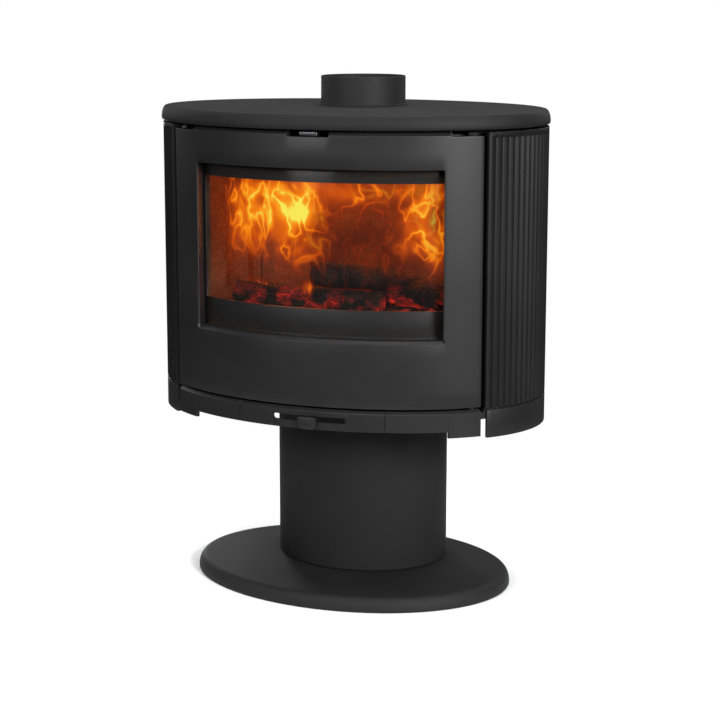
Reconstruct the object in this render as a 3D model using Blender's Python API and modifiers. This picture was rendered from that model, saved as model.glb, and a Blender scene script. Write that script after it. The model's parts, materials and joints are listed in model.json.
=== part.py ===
"""Oval wood burning stove on a pedestal.

Metres, +Z up, the front faces -Y. The origin is on the floor, under the middle of the body.
Angles around the body are measured from the front centre line, positive towards +X.
"""
import math

import bmesh
import bpy

# ---------------------------------------------------------------- driving sizes
GAP = 0.0003                 # between faces that touch on the real stove

BODY_WIDTH = 0.693           # oval skin of the body
BODY_DEPTH = 0.452
FACETS = 72                  # facets of every oval

BASE_WIDTH = 0.578
BASE_DEPTH = 0.412
BASE_HEIGHT = 0.025
BASE_EDGE = 0.009            # rounding of the base's top edge
COLUMN_WIDTH = 0.312
COLUMN_DEPTH = 0.260
COLUMN_WALL = 0.004
COLUMN_FLANGE = 0.010        # head plate past the column
FLANGE_THICKNESS = 0.006
FLUE_OFFSET = 0.060          # flue and column axis behind the middle of the body

FLOOR_Z = 0.3385             # underside of the floor plate
FLOOR_THICKNESS = 0.012
CARCASS_HEIGHT = 0.4605      # floor plate's top to the firebox top's upper face
PLATE = 0.006                # steel of the carcass
TOP_AIR_GAP = 0.009          # under the top plate
TOP_THICKNESS = 0.025
TOP_OVERHANG_SIDE = 0.0015
TOP_OVERHANG_FRONT = 0.014
TOP_EDGE = 0.009             # width of the top plate's rounded edge
COLLAR_HEIGHT = 0.051
COLLAR_OUTER_R = 0.075
COLLAR_WALL = 0.004
COLLAR_FLANGE = 0.016

SKIRT_THICKNESS = 0.0055
SKIRT_RISE = 0.006           # front skirt above the floor plate
SKIRT_HEIGHT = 0.035
SKIRT_FOOT_DROP = 0.0105
SKIRT_SEAM_X = 0.129
SIDE_SKIRT_HEIGHT = 0.047
PANEL_GROOVE = 0.0025        # between side skirt and side panel
FOOT_X = 0.3283 * BODY_WIDTH  # inner edge of the feet and of the door's corner notches

DOOR_HALF_WIDTH = 0.3951 * BODY_WIDTH
DOOR_SIDE_GAP = 0.0072
DOOR_BOTTOM_GAP = 0.0045
DOOR_TOP_GAP = 0.0035
DOOR_THICKNESS = 0.022
WINDOW_HALF_WIDTH = 0.3139 * BODY_WIDTH
WINDOW_BOTTOM = 0.4747
WINDOW_TOP = 0.756
GLASS_THICKNESS = 0.004
GLASS_LAP = 0.014
RETAINER_THICKNESS = 0.002
RETAINER_HEIGHT = 0.016
CORNER_NOTCH_DEPTH = 0.0065
CENTRE_NOTCH_DEPTH = 0.0085
CENTRE_NOTCH_HALF = 0.036
SEAL_SPACE = 0.012           # between the door's back and the front frame
SEAL_WIDTH_DEG = 2.2
SEAL_OUTER_DEG = 48.5
SEAL_BAND = 0.010

FIRE_HALF_WIDTH = 0.3232 * BODY_WIDTH  # fire opening in the front frame
FIRE_BOTTOM = 0.519
FIRE_TOP = 0.7305
ASH_HALF_WIDTH = 0.160       # ash opening in the front frame
ASH_BOTTOM = 0.3785
ASH_TOP = 0.4555

PANEL_THICKNESS = 0.012
FLUTE_DEPTH = 0.0035
FLUTE_PITCH = 0.0125
FLUTE_BAND = 0.009           # plain band above the flutes
PANEL_BACK_DEG = 126.0
SHIELD_THICKNESS = 0.002

HEARTH_Z = 0.470
HEARTH_THICKNESS = 0.008
LEDGE_WIDTH = 0.010
LEDGE_HEIGHT = 0.008
GRATE_LENGTH = 0.190
GRATE_DEPTH = 0.130
GRATE_THICKNESS = 0.006
GRATE_LAP = 0.006
GRATE_SLOTS = 9
LINER_THICKNESS = 0.025
LINER_HEIGHT = 0.256
BAFFLE_THICKNESS = 0.020
BAFFLE_THROAT = 0.085        # smoke passage in front of the lower baffle
DEFLECTOR_THICKNESS = 0.004
DEFLECTOR_RISE = 0.020       # over the lower baffle

PAN_HALF_WIDTH = 0.145
PAN_HEIGHT = 0.062
PAN_LENGTH = 0.235
PAN_WALL = 0.002
PAN_CLEARANCE = 0.002
GRIP_REACH = 0.007
RUNNER_WIDTH = 0.018

SLOT_HALF = 0.065            # primary air slot in the front skirt
SLOT_HEIGHT = 0.010
SLOT_Z = 0.339
SLIDER_THICKNESS = 0.0035
SLIDER_CLEARANCE = 0.0005
SLIDER_HALF = 0.070
SLIDER_DEPTH = 0.050
SLIDER_MIDDLE_Y = -0.135
ARM_HALF = 0.009
TAB_HALF = 0.016
TAB_HEIGHT = 0.020
TAB_THICKNESS = 0.007
AIR_TRAVEL = 0.045
GUIDE_WALL = 0.0035
GUIDE_RAIL = 0.008

WASH_HALF = 0.045            # airwash slider on the firebox top
WASH_DEPTH = 0.034
WASH_MIDDLE_Y = -0.120
WASH_THICKNESS = 0.003
WASH_TRAVEL = 0.018
KNOB_HALF = 0.0165

HINGE_DEG = 50.0
PIN_R = 0.004
PIN_CLEARANCE = 0.0005
PIN_REACH = 0.015
BRACKET_HALF = 0.007
BRACKET_THICKNESS = 0.0045
LATCH_DEG = 50.6
LATCH_FINGER_DEG = 265.0     # directions in plan, seen from above
LATCH_TAIL_DEG = 70.0
LATCH_TURN_DEG = 47.0        # from released to locked
LATCH_FINGER = 0.032
LATCH_TAIL = 0.028
LATCH_HALF = 0.004
LATCH_GUIDE_HEIGHT = 0.020
KEEPER_HALF = 0.0075
SPACER_R = 0.007
BOLT_R = 0.005
BOLT_HEAD_R = 0.0085
BOLT_HEAD_HEIGHT = 0.0055

# ---------------------------------------------------------------- worked-out levels
FLOOR_TOP = FLOOR_Z + FLOOR_THICKNESS
CARCASS_TOP = FLOOR_TOP + CARCASS_HEIGHT
WALL_BOTTOM = FLOOR_TOP + GAP
WALL_TOP = CARCASS_TOP - PLATE - GAP
TOP_Z = CARCASS_TOP + TOP_AIR_GAP
TOP_TOP = TOP_Z + TOP_THICKNESS
COLLAR_TOP = TOP_TOP + COLLAR_HEIGHT
SKIRT_TOP = FLOOR_TOP + SKIRT_RISE
SKIRT_BOTTOM = SKIRT_TOP - SKIRT_HEIGHT
PANEL_BOTTOM = SKIRT_TOP
PANEL_TOP = TOP_Z - DOOR_TOP_GAP
SIDE_SKIRT_TOP = PANEL_BOTTOM - PANEL_GROOVE
SIDE_SKIRT_BOTTOM = SIDE_SKIRT_TOP - SIDE_SKIRT_HEIGHT
DOOR_BOTTOM = SKIRT_TOP + DOOR_BOTTOM_GAP
DOOR_TOP = TOP_Z - DOOR_TOP_GAP
CORNER_NOTCH_Z = DOOR_TOP - CORNER_NOTCH_DEPTH
CENTRE_NOTCH_Z = DOOR_TOP - CENTRE_NOTCH_DEPTH
HEARTH_TOP = HEARTH_Z + HEARTH_THICKNESS
LINER_TOP = HEARTH_TOP + GAP + LINER_HEIGHT
BAFFLE_Z = LINER_TOP + GAP
DEFLECTOR_Z = BAFFLE_Z + BAFFLE_THICKNESS + DEFLECTOR_RISE

# ---------------------------------------------------------------- insets from the skin
FRAME_OUT = DOOR_THICKNESS + SEAL_SPACE          # outer face of the carcass
FRAME_IN = FRAME_OUT + PLATE
INNER = FRAME_IN + GAP                           # what stands inside the carcass
FLOOR_INSET = SKIRT_THICKNESS + GAP
GLASS_OUT = DOOR_THICKNESS + GAP
GLASS_IN = GLASS_OUT + GLASS_THICKNESS
HINGE_INSET = DOOR_THICKNESS * 0.57
LATCH_INSET = DOOR_THICKNESS + SEAL_SPACE / 2

STEP = 2 * math.pi / FACETS
MATERIALS = {
    "matte_black": ((0.030, 0.030, 0.032, 1.0), 0.55, 0.0),
    "cast_black": ((0.026, 0.026, 0.028, 1.0), 0.62, 0.0),
    "bare_steel": ((0.45, 0.45, 0.46, 1.0), 0.35, 1.0),
    "glass": ((0.80, 0.82, 0.82, 0.35), 0.05, 0.0),
    "rope": ((0.16, 0.16, 0.16, 1.0), 0.95, 0.0),
    "firebrick": ((0.42, 0.30, 0.20, 1.0), 0.90, 0.0),
    "grate_iron": ((0.060, 0.055, 0.050, 1.0), 0.70, 0.4),
}


# ---------------------------------------------------------------- scene helpers
def clear_scene():
    for old in list(bpy.data.objects):
        bpy.data.objects.remove(old, do_unlink=True)


def new_collection(name):
    collection = bpy.data.collections.new(name)
    bpy.context.scene.collection.children.link(collection)
    return collection


def material(name):
    found = bpy.data.materials.get(name)
    if found:
        return found
    colour, roughness, metallic = MATERIALS[name]
    made = bpy.data.materials.new(name)
    made.use_nodes = True
    shader = made.node_tree.nodes["Principled BSDF"]
    shader.inputs["Base Color"].default_value = colour
    shader.inputs["Roughness"].default_value = roughness
    shader.inputs["Metallic"].default_value = metallic
    shader.inputs["Alpha"].default_value = colour[3]
    return made


def add_object(name, data, slot, collection, parent=None):
    obj = bpy.data.objects.new(name, data)
    collection.objects.link(obj)
    obj.data.materials.clear()
    obj.data.materials.append(material(slot))
    if parent:
        put_under(obj, parent)
    return obj


def put_under(obj, parent):
    """Parent without moving the piece, so that its place stays in the stove's frame."""
    obj.parent = parent
    obj.matrix_parent_inverse = parent.matrix_world.inverted()


def pivot(name, location):
    empty = bpy.data.objects.new(name, None)
    PARTS.objects.link(empty)
    empty.location = location
    bpy.context.view_layer.update()
    return empty


# ---------------------------------------------------------------- plan geometry
def oval(angle, inset=0.0, half=(BODY_WIDTH / 2, BODY_DEPTH / 2)):
    """Point on the faceted oval: every shell shares the same facets, so their gaps stay even."""
    first = math.floor(angle / STEP + 1e-9)
    share = angle / STEP - first
    ends = []
    for index in (first, first + 1):
        turn = index * STEP
        ends.append(((half[0] - inset) * math.sin(turn), -(half[1] - inset) * math.cos(turn)))
    return tuple(p + share * (q - p) for p, q in zip(*ends))


def arc(start, end, inset):
    """Points of the oval from one angle to another, in degrees, through every corner between."""
    start, end = math.radians(start), math.radians(end)
    first = math.floor(start / STEP + 1e-6) + 1
    last = math.ceil(end / STEP - 1e-6) - 1
    angles = [start] + [index * STEP for index in range(first, last + 1)] + [end]
    return [oval(angle, inset) for angle in angles]


def angle_at(x, inset=0.0):
    """Angle in degrees at which the oval reaches a given x on the front half."""
    return math.degrees(math.asin(x / (BODY_WIDTH / 2 - inset)))


def front_y(x, inset=0.0):
    half_width, half_depth = BODY_WIDTH / 2 - inset, BODY_DEPTH / 2 - inset
    return -half_depth * math.sqrt(1 - (x / half_width) ** 2)


def ring(half_width, half_depth, centre_y=0.0, count=FACETS):
    turns = [2 * math.pi * index / count for index in range(count)]
    return [(half_width * math.sin(t), centre_y - half_depth * math.cos(t)) for t in turns]


# ---------------------------------------------------------------- solids
def plate(name, outlines, z0, z1, slot, parent=None):
    """Flat outlines, the first one outside and the rest holes, pulled up from z0 to z1."""
    curve = bpy.data.curves.new(name, "CURVE")
    curve.dimensions = "2D"
    curve.fill_mode = "BOTH"
    curve.extrude = (z1 - z0) / 2
    for outline in outlines:
        spline = curve.splines.new("POLY")
        spline.points.add(len(outline) - 1)
        for point, (x, y) in zip(spline.points, outline):
            point.co = (x, y, 0, 1)
        spline.use_cyclic_u = True
    flat = bpy.data.objects.new(name + "_outline", curve)
    PARTS.objects.link(flat)
    flat.location.z = (z0 + z1) / 2
    obj = as_mesh(flat, name, slot)
    if parent:
        put_under(obj, parent)
    return obj


def as_mesh(flat, name, slot):
    bpy.context.view_layer.update()
    evaluated = flat.evaluated_get(bpy.context.evaluated_depsgraph_get())
    mesh = bpy.data.meshes.new_from_object(evaluated)
    mesh.name = name
    mesh.transform(flat.matrix_world)
    cleaned = bmesh.new()
    cleaned.from_mesh(mesh)
    bmesh.ops.remove_doubles(cleaned, verts=cleaned.verts, dist=1e-6)
    bmesh.ops.recalc_face_normals(cleaned, faces=cleaned.faces)
    cleaned.to_mesh(mesh)
    cleaned.free()
    bpy.data.objects.remove(flat, do_unlink=True)
    return add_object(name, mesh, slot, PARTS)


def shell(name, angles, insets, levels, slot, parent=None):
    """Upright piece of the oval between two insets."""
    outline = arc(*angles, insets[0]) + arc(*angles, insets[1])[::-1]
    return plate(name, [outline], *levels, slot, parent)


def solid(name, corners, slot=None, parent=None, collection=None):
    """Box between two opposite corners."""
    low, high = corners
    mesh = bpy.data.meshes.new(name)
    shape = bmesh.new()
    bmesh.ops.create_cube(shape, size=1)
    for vert in shape.verts:
        vert.co = [a + (c + 0.5) * (b - a) for a, b, c in zip(low, high, vert.co)]
    shape.to_mesh(mesh)
    shape.free()
    return add_object(name, mesh, slot or "matte_black", collection or PARTS, parent)


def rod(name, centre, radius, levels, slot=None, parent=None, collection=None, sides=16):
    mesh = bpy.data.meshes.new(name)
    shape = bmesh.new()
    height = levels[1] - levels[0]
    bmesh.ops.create_cone(shape, cap_ends=True, segments=sides, radius1=radius, radius2=radius,
                          depth=height)
    middle = (centre[0], centre[1], (levels[0] + levels[1]) / 2)
    bmesh.ops.translate(shape, verts=shape.verts, vec=middle)
    shape.to_mesh(mesh)
    shape.free()
    return add_object(name, mesh, slot or "bare_steel", collection or PARTS, parent)


def turned(name, profile, centre, half, slot, steps=FACETS):
    """Profile of (share of the half-width, z) pairs, turned and stretched to an oval."""
    mesh = bpy.data.meshes.new(name)
    closed = profile[0] == profile[-1]
    points = profile[:-1] if closed else profile
    edges = [(i, (i + 1) % len(points)) for i in range(len(profile) - 1)]
    mesh.from_pydata([(r, 0, z) for r, z in points], edges, [])
    obj = add_object(name, mesh, slot, PARTS)
    obj.location = (centre[0], centre[1], 0)
    obj.scale = (1, half[1] / half[0], 1)
    screw = obj.modifiers.new("Turn", "SCREW")
    screw.steps = steps
    screw.render_steps = steps
    screw.use_merge_vertices = True
    screw.merge_threshold = 1e-5
    return obj


def cut(obj, cutter, operation="DIFFERENCE"):
    """Boolean whose cutter stays as a guide."""
    cutter.hide_render = True
    cutter.display_type = "WIRE"
    if cutter.name in PARTS.objects:
        PARTS.objects.unlink(cutter)
        CUTTERS.objects.link(cutter)
    boolean = obj.modifiers.new(cutter.name, "BOOLEAN")
    boolean.operation = operation
    boolean.object = cutter
    boolean.solver = "EXACT"


def cut_box(obj, name, corners):
    cut(obj, solid(name, corners, collection=CUTTERS))


def cut_bore(obj, name, centre, radius, levels, sides=16):
    cut(obj, rod(name, centre, radius, levels, collection=CUTTERS, sides=sides))


# ---------------------------------------------------------------- pedestal
def pedestal():
    half = (BASE_WIDTH / 2, BASE_DEPTH / 2)
    edge = [(half[0] - BASE_EDGE + BASE_EDGE * math.sin(t), BASE_HEIGHT - BASE_EDGE * (1 - math.cos(t)))
            for t in (math.radians(30 * k) for k in range(4))]
    foot = BASE_EDGE / 4
    profile = [(0, BASE_HEIGHT)] + edge + [(half[0], foot), (half[0] - foot, 0), (0, 0)]
    turned("base_plate", profile, (0, 0), half, "matte_black")

    half_width, half_depth = COLUMN_WIDTH / 2, COLUMN_DEPTH / 2
    foot_z = BASE_HEIGHT + GAP
    head_top = FLOOR_Z - GAP
    head_z = head_top - FLANGE_THICKNESS
    plate("column", [ring(half_width, half_depth, FLUE_OFFSET),
                     ring(half_width - COLUMN_WALL, half_depth - COLUMN_WALL, FLUE_OFFSET)],
          foot_z, head_z - GAP, "matte_black")
    lap = COLUMN_WALL + 2 * GAP
    inner = lap + 2 * COLUMN_FLANGE
    plate("column_foot", [ring(half_width - lap, half_depth - lap, FLUE_OFFSET),
                          ring(half_width - inner, half_depth - inner, FLUE_OFFSET)],
          foot_z, foot_z + FLANGE_THICKNESS, "matte_black")
    head = plate("column_head",
                 [ring(half_width + COLUMN_FLANGE, half_depth + COLUMN_FLANGE, FLUE_OFFSET),
                  ring(half_width / 3, half_width / 3, FLUE_OFFSET, 24)],
                 head_z, head_top, "matte_black")
    for index, (x_side, y_side) in enumerate(((-1, -1), (1, -1), (1, 1), (-1, 1)), 1):
        place = (x_side * half_width * 0.6, FLUE_OFFSET + y_side * half_depth * 0.5)
        cut_bore(head, f"bolt_hole_{index}", place, BOLT_R + GAP,
                 (head_z - BASE_EDGE, FLOOR_TOP + PLATE))
        bolt(f"column_bolt_{index}", place, (head_z - GAP, FLOOR_TOP), -1)
    return head


def bolt(name, place, levels, side, parent=None):
    """Hexagon bolt: the head is under the shank for side -1 and over it for side 1."""
    low, high = levels
    head_levels = (low - BOLT_HEAD_HEIGHT, low) if side < 0 else (high, high + BOLT_HEAD_HEIGHT)
    head = rod(name, place, BOLT_HEAD_R, head_levels, "bare_steel", parent, sides=6)
    shank_levels = (low - BOLT_HEAD_HEIGHT / 2, high) if side < 0 else (low, high + BOLT_HEAD_HEIGHT / 2)
    cut(head, rod(name + "_shank", place, BOLT_R, shank_levels, collection=CUTTERS), "UNION")
    return head


# ---------------------------------------------------------------- carcass
def floor_plate():
    outline = arc(-180, 180, FLOOR_INSET)[:-1]
    floor = plate("floor_plate", [outline, ring(COLUMN_WIDTH / 6, COLUMN_WIDTH / 6, FLUE_OFFSET, 24)],
                  FLOOR_Z, FLOOR_TOP, "matte_black")
    relief = SLOT_HALF + TAB_HALF
    cut_box(floor, "slot_relief", ((-relief, -BODY_DEPTH, FLOOR_Z - PLATE),
                                   (relief, front_y(0, FRAME_OUT - PLATE / 4), FLOOR_TOP + PLATE)))
    for index in range(1, 5):
        cut(floor, bpy.data.objects[f"bolt_hole_{index}"])
    for index, x in enumerate((-SLIDER_HALF / 2, SLIDER_HALF / 2), 1):
        cut_box(floor, f"primary_port_{index}",
                port(x, SLIDER_MIDDLE_Y, (FLOOR_Z - PLATE, FLOOR_TOP + PLATE)))
    return floor


def port(x, y, levels, half=(0.010, 0.012)):
    return ((x - half[0], y - half[1], levels[0]), (x + half[0], y + half[1], levels[1]))


def carcass():
    ends = math.degrees(STEP) * 10.5
    frame = shell("front_frame", (-ends, ends), (FRAME_OUT, FRAME_IN), (WALL_BOTTOM, WALL_TOP),
                  "matte_black")
    cut_box(frame, "fire_opening", ((-FIRE_HALF_WIDTH, -BODY_DEPTH, FIRE_BOTTOM),
                                    (FIRE_HALF_WIDTH, 0, FIRE_TOP)))
    cut_box(frame, "ash_opening", ((-ASH_HALF_WIDTH, -BODY_DEPTH, ASH_BOTTOM),
                                   (ASH_HALF_WIDTH, 0, ASH_TOP)))
    clear = math.degrees(GAP / (BODY_DEPTH / 2)) * 1.2
    shell("carcass_wall", (ends + clear, 360 - ends - clear), (FRAME_OUT, FRAME_IN),
          (WALL_BOTTOM, WALL_TOP), "matte_black")
    top = plate("firebox_top", [arc(-180, 180, FRAME_OUT)[:-1],
                                ring(COLLAR_OUTER_R - COLLAR_WALL, COLLAR_OUTER_R - COLLAR_WALL,
                                     FLUE_OFFSET, 36)],
                CARCASS_TOP - PLATE, CARCASS_TOP, "matte_black")
    for index, x in enumerate((-WASH_HALF / 2, WASH_HALF / 2), 1):
        cut_box(top, f"airwash_port_{index}",
                port(x, WASH_MIDDLE_Y, (CARCASS_TOP - 2 * PLATE, CARCASS_TOP + PLATE), (0.006, 0.008)))


def top_and_collar():
    half = (BODY_WIDTH / 2 + TOP_OVERHANG_SIDE, BODY_DEPTH / 2 + TOP_OVERHANG_FRONT)
    lip = TOP_THICKNESS / 6
    fall = TOP_THICKNESS - lip
    edge = [(half[0] - TOP_EDGE * (1 - math.sin(t)), TOP_TOP - fall * (1 - math.cos(t)))
            for t in (math.radians(22.5 * k) for k in range(5))]
    profile = [(0, TOP_TOP)] + edge + [(half[0] - lip / 2, TOP_Z), (0, TOP_Z)]
    top = turned("top_plate", profile, (0, 0), half, "cast_black")
    cut_bore(top, "flue_hole", (0, FLUE_OFFSET), COLLAR_OUTER_R + GAP,
             (TOP_Z - PLATE, TOP_TOP + PLATE), 48)

    inner = COLLAR_OUTER_R - COLLAR_WALL
    flange_z = CARCASS_TOP + GAP
    profile = [(inner, COLLAR_TOP), (COLLAR_OUTER_R - COLLAR_WALL / 4, COLLAR_TOP),
               (COLLAR_OUTER_R, COLLAR_TOP - COLLAR_WALL / 4), (COLLAR_OUTER_R, flange_z + PLATE / 2),
               (COLLAR_OUTER_R + COLLAR_FLANGE, flange_z + PLATE / 2),
               (COLLAR_OUTER_R + COLLAR_FLANGE, flange_z), (inner, flange_z), (inner, COLLAR_TOP)]
    turned("flue_collar", profile, (0, FLUE_OFFSET), (1, 1), "matte_black", 48)
    plate("collar_ring", [ring(COLLAR_OUTER_R + COLLAR_WALL, COLLAR_OUTER_R + COLLAR_WALL, FLUE_OFFSET, 48),
                          ring(COLLAR_OUTER_R + GAP, COLLAR_OUTER_R + GAP, FLUE_OFFSET, 48)],
          TOP_TOP + GAP, TOP_TOP + COLLAR_WALL * 0.75, "matte_black")
    for index, (x_side, y_side) in enumerate(((-1, -1), (1, -1), (1, 1), (-1, 1)), 1):
        place = (x_side * BODY_WIDTH * 0.32, y_side * BODY_DEPTH * 0.14)
        rod(f"top_spacer_{index}", place, SPACER_R, (CARCASS_TOP + GAP, TOP_Z - GAP), "matte_black", sides=12)


# ---------------------------------------------------------------- outer skin
def fluted_outline(start, end):
    """Outer arc with upright flutes: plain strip at each end, round ribs between."""
    length = 0.0
    steps = 720
    marks = [(0.0, start)]
    last = oval(math.radians(start))
    for index in range(1, steps + 1):
        angle = start + (end - start) * index / steps
        here = oval(math.radians(angle))
        length += math.dist(last, here)
        marks.append((length, angle))
        last = here
    count = int((length - FLUTE_PITCH) / FLUTE_PITCH)
    strip = (length - count * FLUTE_PITCH) / 2
    stations = [(0.0, 0.0)]
    for flute in range(count):
        left = strip + flute * FLUTE_PITCH
        stations += [(left, 0.0), (left + FLUTE_PITCH * 0.35, FLUTE_DEPTH),
                     (left + FLUTE_PITCH * 0.65, FLUTE_DEPTH)]
    stations += [(strip + count * FLUTE_PITCH, 0.0), (length, 0.0)]
    points = []
    for station, depth in stations:
        angle = next(a for reach, a in marks if reach >= station - 1e-9)
        points.append(oval(math.radians(angle), depth))
    return points


def side_panels():
    edge = angle_at(DOOR_HALF_WIDTH + DOOR_SIDE_GAP)
    band_z = PANEL_TOP - FLUTE_BAND
    for name, sign in (("side_panel_right", 1), ("side_panel_left", -1)):
        inner = arc(edge, PANEL_BACK_DEG, PANEL_THICKNESS)[::-1]
        outline = [(sign * x, y) for x, y in fluted_outline(edge, PANEL_BACK_DEG) + inner]
        panel = plate(name, [outline], PANEL_BOTTOM, band_z, "cast_black")
        angles = (edge, PANEL_BACK_DEG) if sign > 0 else (-PANEL_BACK_DEG, -edge)
        band = shell(name + "_band", angles, (0, PANEL_THICKNESS),
                     (band_z - 0.001, PANEL_TOP), "cast_black")
        cut(panel, band, "UNION")
    back = (PANEL_BACK_DEG + 0.5, 359.5 - PANEL_BACK_DEG)
    shield_in = PANEL_THICKNESS
    shell("rear_shield", back, (shield_in - SHIELD_THICKNESS, shield_in), (PANEL_BOTTOM, PANEL_TOP),
          "matte_black")
    shell("panel_rail", (75, 285), (PANEL_THICKNESS + GAP, FRAME_OUT - GAP),
          (PANEL_TOP - 4 * PLATE, PANEL_TOP - 2 * PLATE), "matte_black")
    shell("panel_rest", (edge, 360 - edge), (FLOOR_INSET, PANEL_THICKNESS + SHIELD_THICKNESS),
          (FLOOR_TOP + GAP, PANEL_BOTTOM - GAP), "matte_black")


def skirts():
    seam = angle_at(SKIRT_SEAM_X)
    end = angle_at(DOOR_HALF_WIDTH)
    clear = math.degrees(GAP / (BODY_DEPTH / 2)) * 1.2
    insets = (0, SKIRT_THICKNESS)
    centre = shell("skirt_centre", (-seam, seam), insets, (SKIRT_BOTTOM, SKIRT_TOP), "matte_black")
    cut_box(centre, "air_slot", ((-SLOT_HALF, -BODY_DEPTH, SLOT_Z - SLOT_HEIGHT / 2),
                                 (SLOT_HALF, 0, SLOT_Z + SLOT_HEIGHT / 2)))
    foot_z = SKIRT_BOTTOM - SKIRT_FOOT_DROP
    for side, sign in (("right", 1), ("left", -1)):
        angles = (seam + clear, end) if sign > 0 else (-end, -seam - clear)
        piece = shell(f"skirt_front_{side}", angles, insets, (foot_z, SKIRT_TOP), "matte_black")
        inner, outer = sorted((0, sign * FOOT_X))
        cut_box(piece, f"foot_gap_{side}", ((inner, -BODY_DEPTH, foot_z - PLATE), (outer, 0, SKIRT_BOTTOM)))
    edge = angle_at(DOOR_HALF_WIDTH + DOOR_SIDE_GAP)
    levels = (SIDE_SKIRT_BOTTOM, SIDE_SKIRT_TOP)
    shell("skirt_side_right", (edge, PANEL_BACK_DEG), insets, levels, "matte_black")
    shell("skirt_side_left", (-PANEL_BACK_DEG, -edge), insets, levels, "matte_black")
    shell("skirt_rear", (PANEL_BACK_DEG + clear, 360 - PANEL_BACK_DEG - clear), insets, levels,
          "matte_black")


# ---------------------------------------------------------------- firebox
def firebox():
    ends = math.degrees(STEP) * 11
    shell("hearth_ledge", (ends, 360 - ends), (INNER, INNER + LEDGE_WIDTH),
          (HEARTH_Z - GAP - LEDGE_HEIGHT, HEARTH_Z - GAP), "matte_black")
    hearth = plate("hearth_plate", [arc(-180, 180, INNER)[:-1]], HEARTH_Z, HEARTH_TOP, "grate_iron")
    hole = (GRATE_LENGTH / 2 - GRATE_LAP, GRATE_DEPTH / 2 - GRATE_LAP)
    cut_box(hearth, "grate_hole", port(0, 0, (HEARTH_Z - PLATE, HEARTH_TOP + PLATE), hole))
    grate_z = HEARTH_TOP + GAP
    grate = solid("grate", port(0, 0, (grate_z, grate_z + GRATE_THICKNESS),
                                (GRATE_LENGTH / 2, GRATE_DEPTH / 2)), "grate_iron")
    pitch = 2 * hole[0] / GRATE_SLOTS
    for index in range(GRATE_SLOTS):
        x = -hole[0] + pitch * (index + 0.5)
        cut_box(grate, f"grate_slot_{index + 1}",
                port(x, 0, (grate_z - PLATE, grate_z + 2 * PLATE), (pitch / 4, hole[1])))

    liner = (INNER, INNER + LINER_THICKNESS)
    levels = (HEARTH_TOP + GAP, LINER_TOP)
    corner = 130.0
    shell("liner_right", (ends, corner), liner, levels, "firebrick")
    shell("liner_left", (-corner, -ends), liner, levels, "firebrick")
    clear = math.degrees(GAP / (BODY_DEPTH / 2 - INNER)) * 1.2
    shell("liner_back", (corner + clear, 360 - corner - clear), liner, levels, "firebrick")

    lower = plate("baffle_lower", [arc(-180, 180, INNER)[:-1]], BAFFLE_Z, BAFFLE_Z + BAFFLE_THICKNESS,
                  "firebrick")
    inner_depth = BODY_DEPTH / 2 - INNER
    cut_box(lower, "throat", ((-BODY_WIDTH, -BODY_DEPTH, BAFFLE_Z - PLATE),
                              (BODY_WIDTH, BAFFLE_THROAT - inner_depth, DEFLECTOR_Z)))
    ledge = (DEFLECTOR_Z - GAP - LEDGE_HEIGHT, DEFLECTOR_Z - GAP)
    for side, angles in (("right", (75, 105)), ("left", (-105, -75))):
        shell(f"baffle_ledge_{side}", angles, (INNER, INNER + LEDGE_WIDTH), ledge, "matte_black")
    upper = plate("baffle_upper", [arc(-180, 180, INNER)[:-1]], DEFLECTOR_Z,
                  DEFLECTOR_Z + DEFLECTOR_THICKNESS, "grate_iron")
    cut_box(upper, "rear_throat", ((-BODY_WIDTH, inner_depth - BAFFLE_THROAT, DEFLECTOR_Z - PLATE),
                                   (BODY_WIDTH, BODY_DEPTH, CARCASS_TOP)))


def ash_pan():
    front = front_y(PAN_HALF_WIDTH, INNER + PAN_CLEARANCE)
    pan_z = ASH_BOTTOM + PAN_CLEARANCE
    pan = solid("ash_pan", ((-PAN_HALF_WIDTH, front, pan_z),
                            (PAN_HALF_WIDTH, front + PAN_LENGTH, pan_z + PAN_HEIGHT)), "matte_black")
    cut_box(pan, "pan_inside", ((-PAN_HALF_WIDTH + PAN_WALL, front + PAN_WALL, pan_z + PAN_WALL),
                                (PAN_HALF_WIDTH - PAN_WALL, front + PAN_LENGTH - PAN_WALL,
                                 pan_z + PAN_HEIGHT + PLATE)))
    lip_z = pan_z + PAN_HEIGHT - 2 * PAN_WALL
    cut(pan, solid("pan_lip", ((-PAN_HALF_WIDTH / 3, front - GRIP_REACH, lip_z),
                               (PAN_HALF_WIDTH / 3, front + PAN_WALL / 2, pan_z + PAN_HEIGHT))), "UNION")
    for side, sign in (("left", -1), ("right", 1)):
        inner, outer = sorted((sign * PAN_HALF_WIDTH * 0.6, sign * (PAN_HALF_WIDTH * 0.6 + RUNNER_WIDTH)))
        solid(f"ash_runner_{side}", ((inner, front, FLOOR_TOP + GAP),
                                     (outer, front + PAN_LENGTH, pan_z - GAP)), "matte_black")


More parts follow.
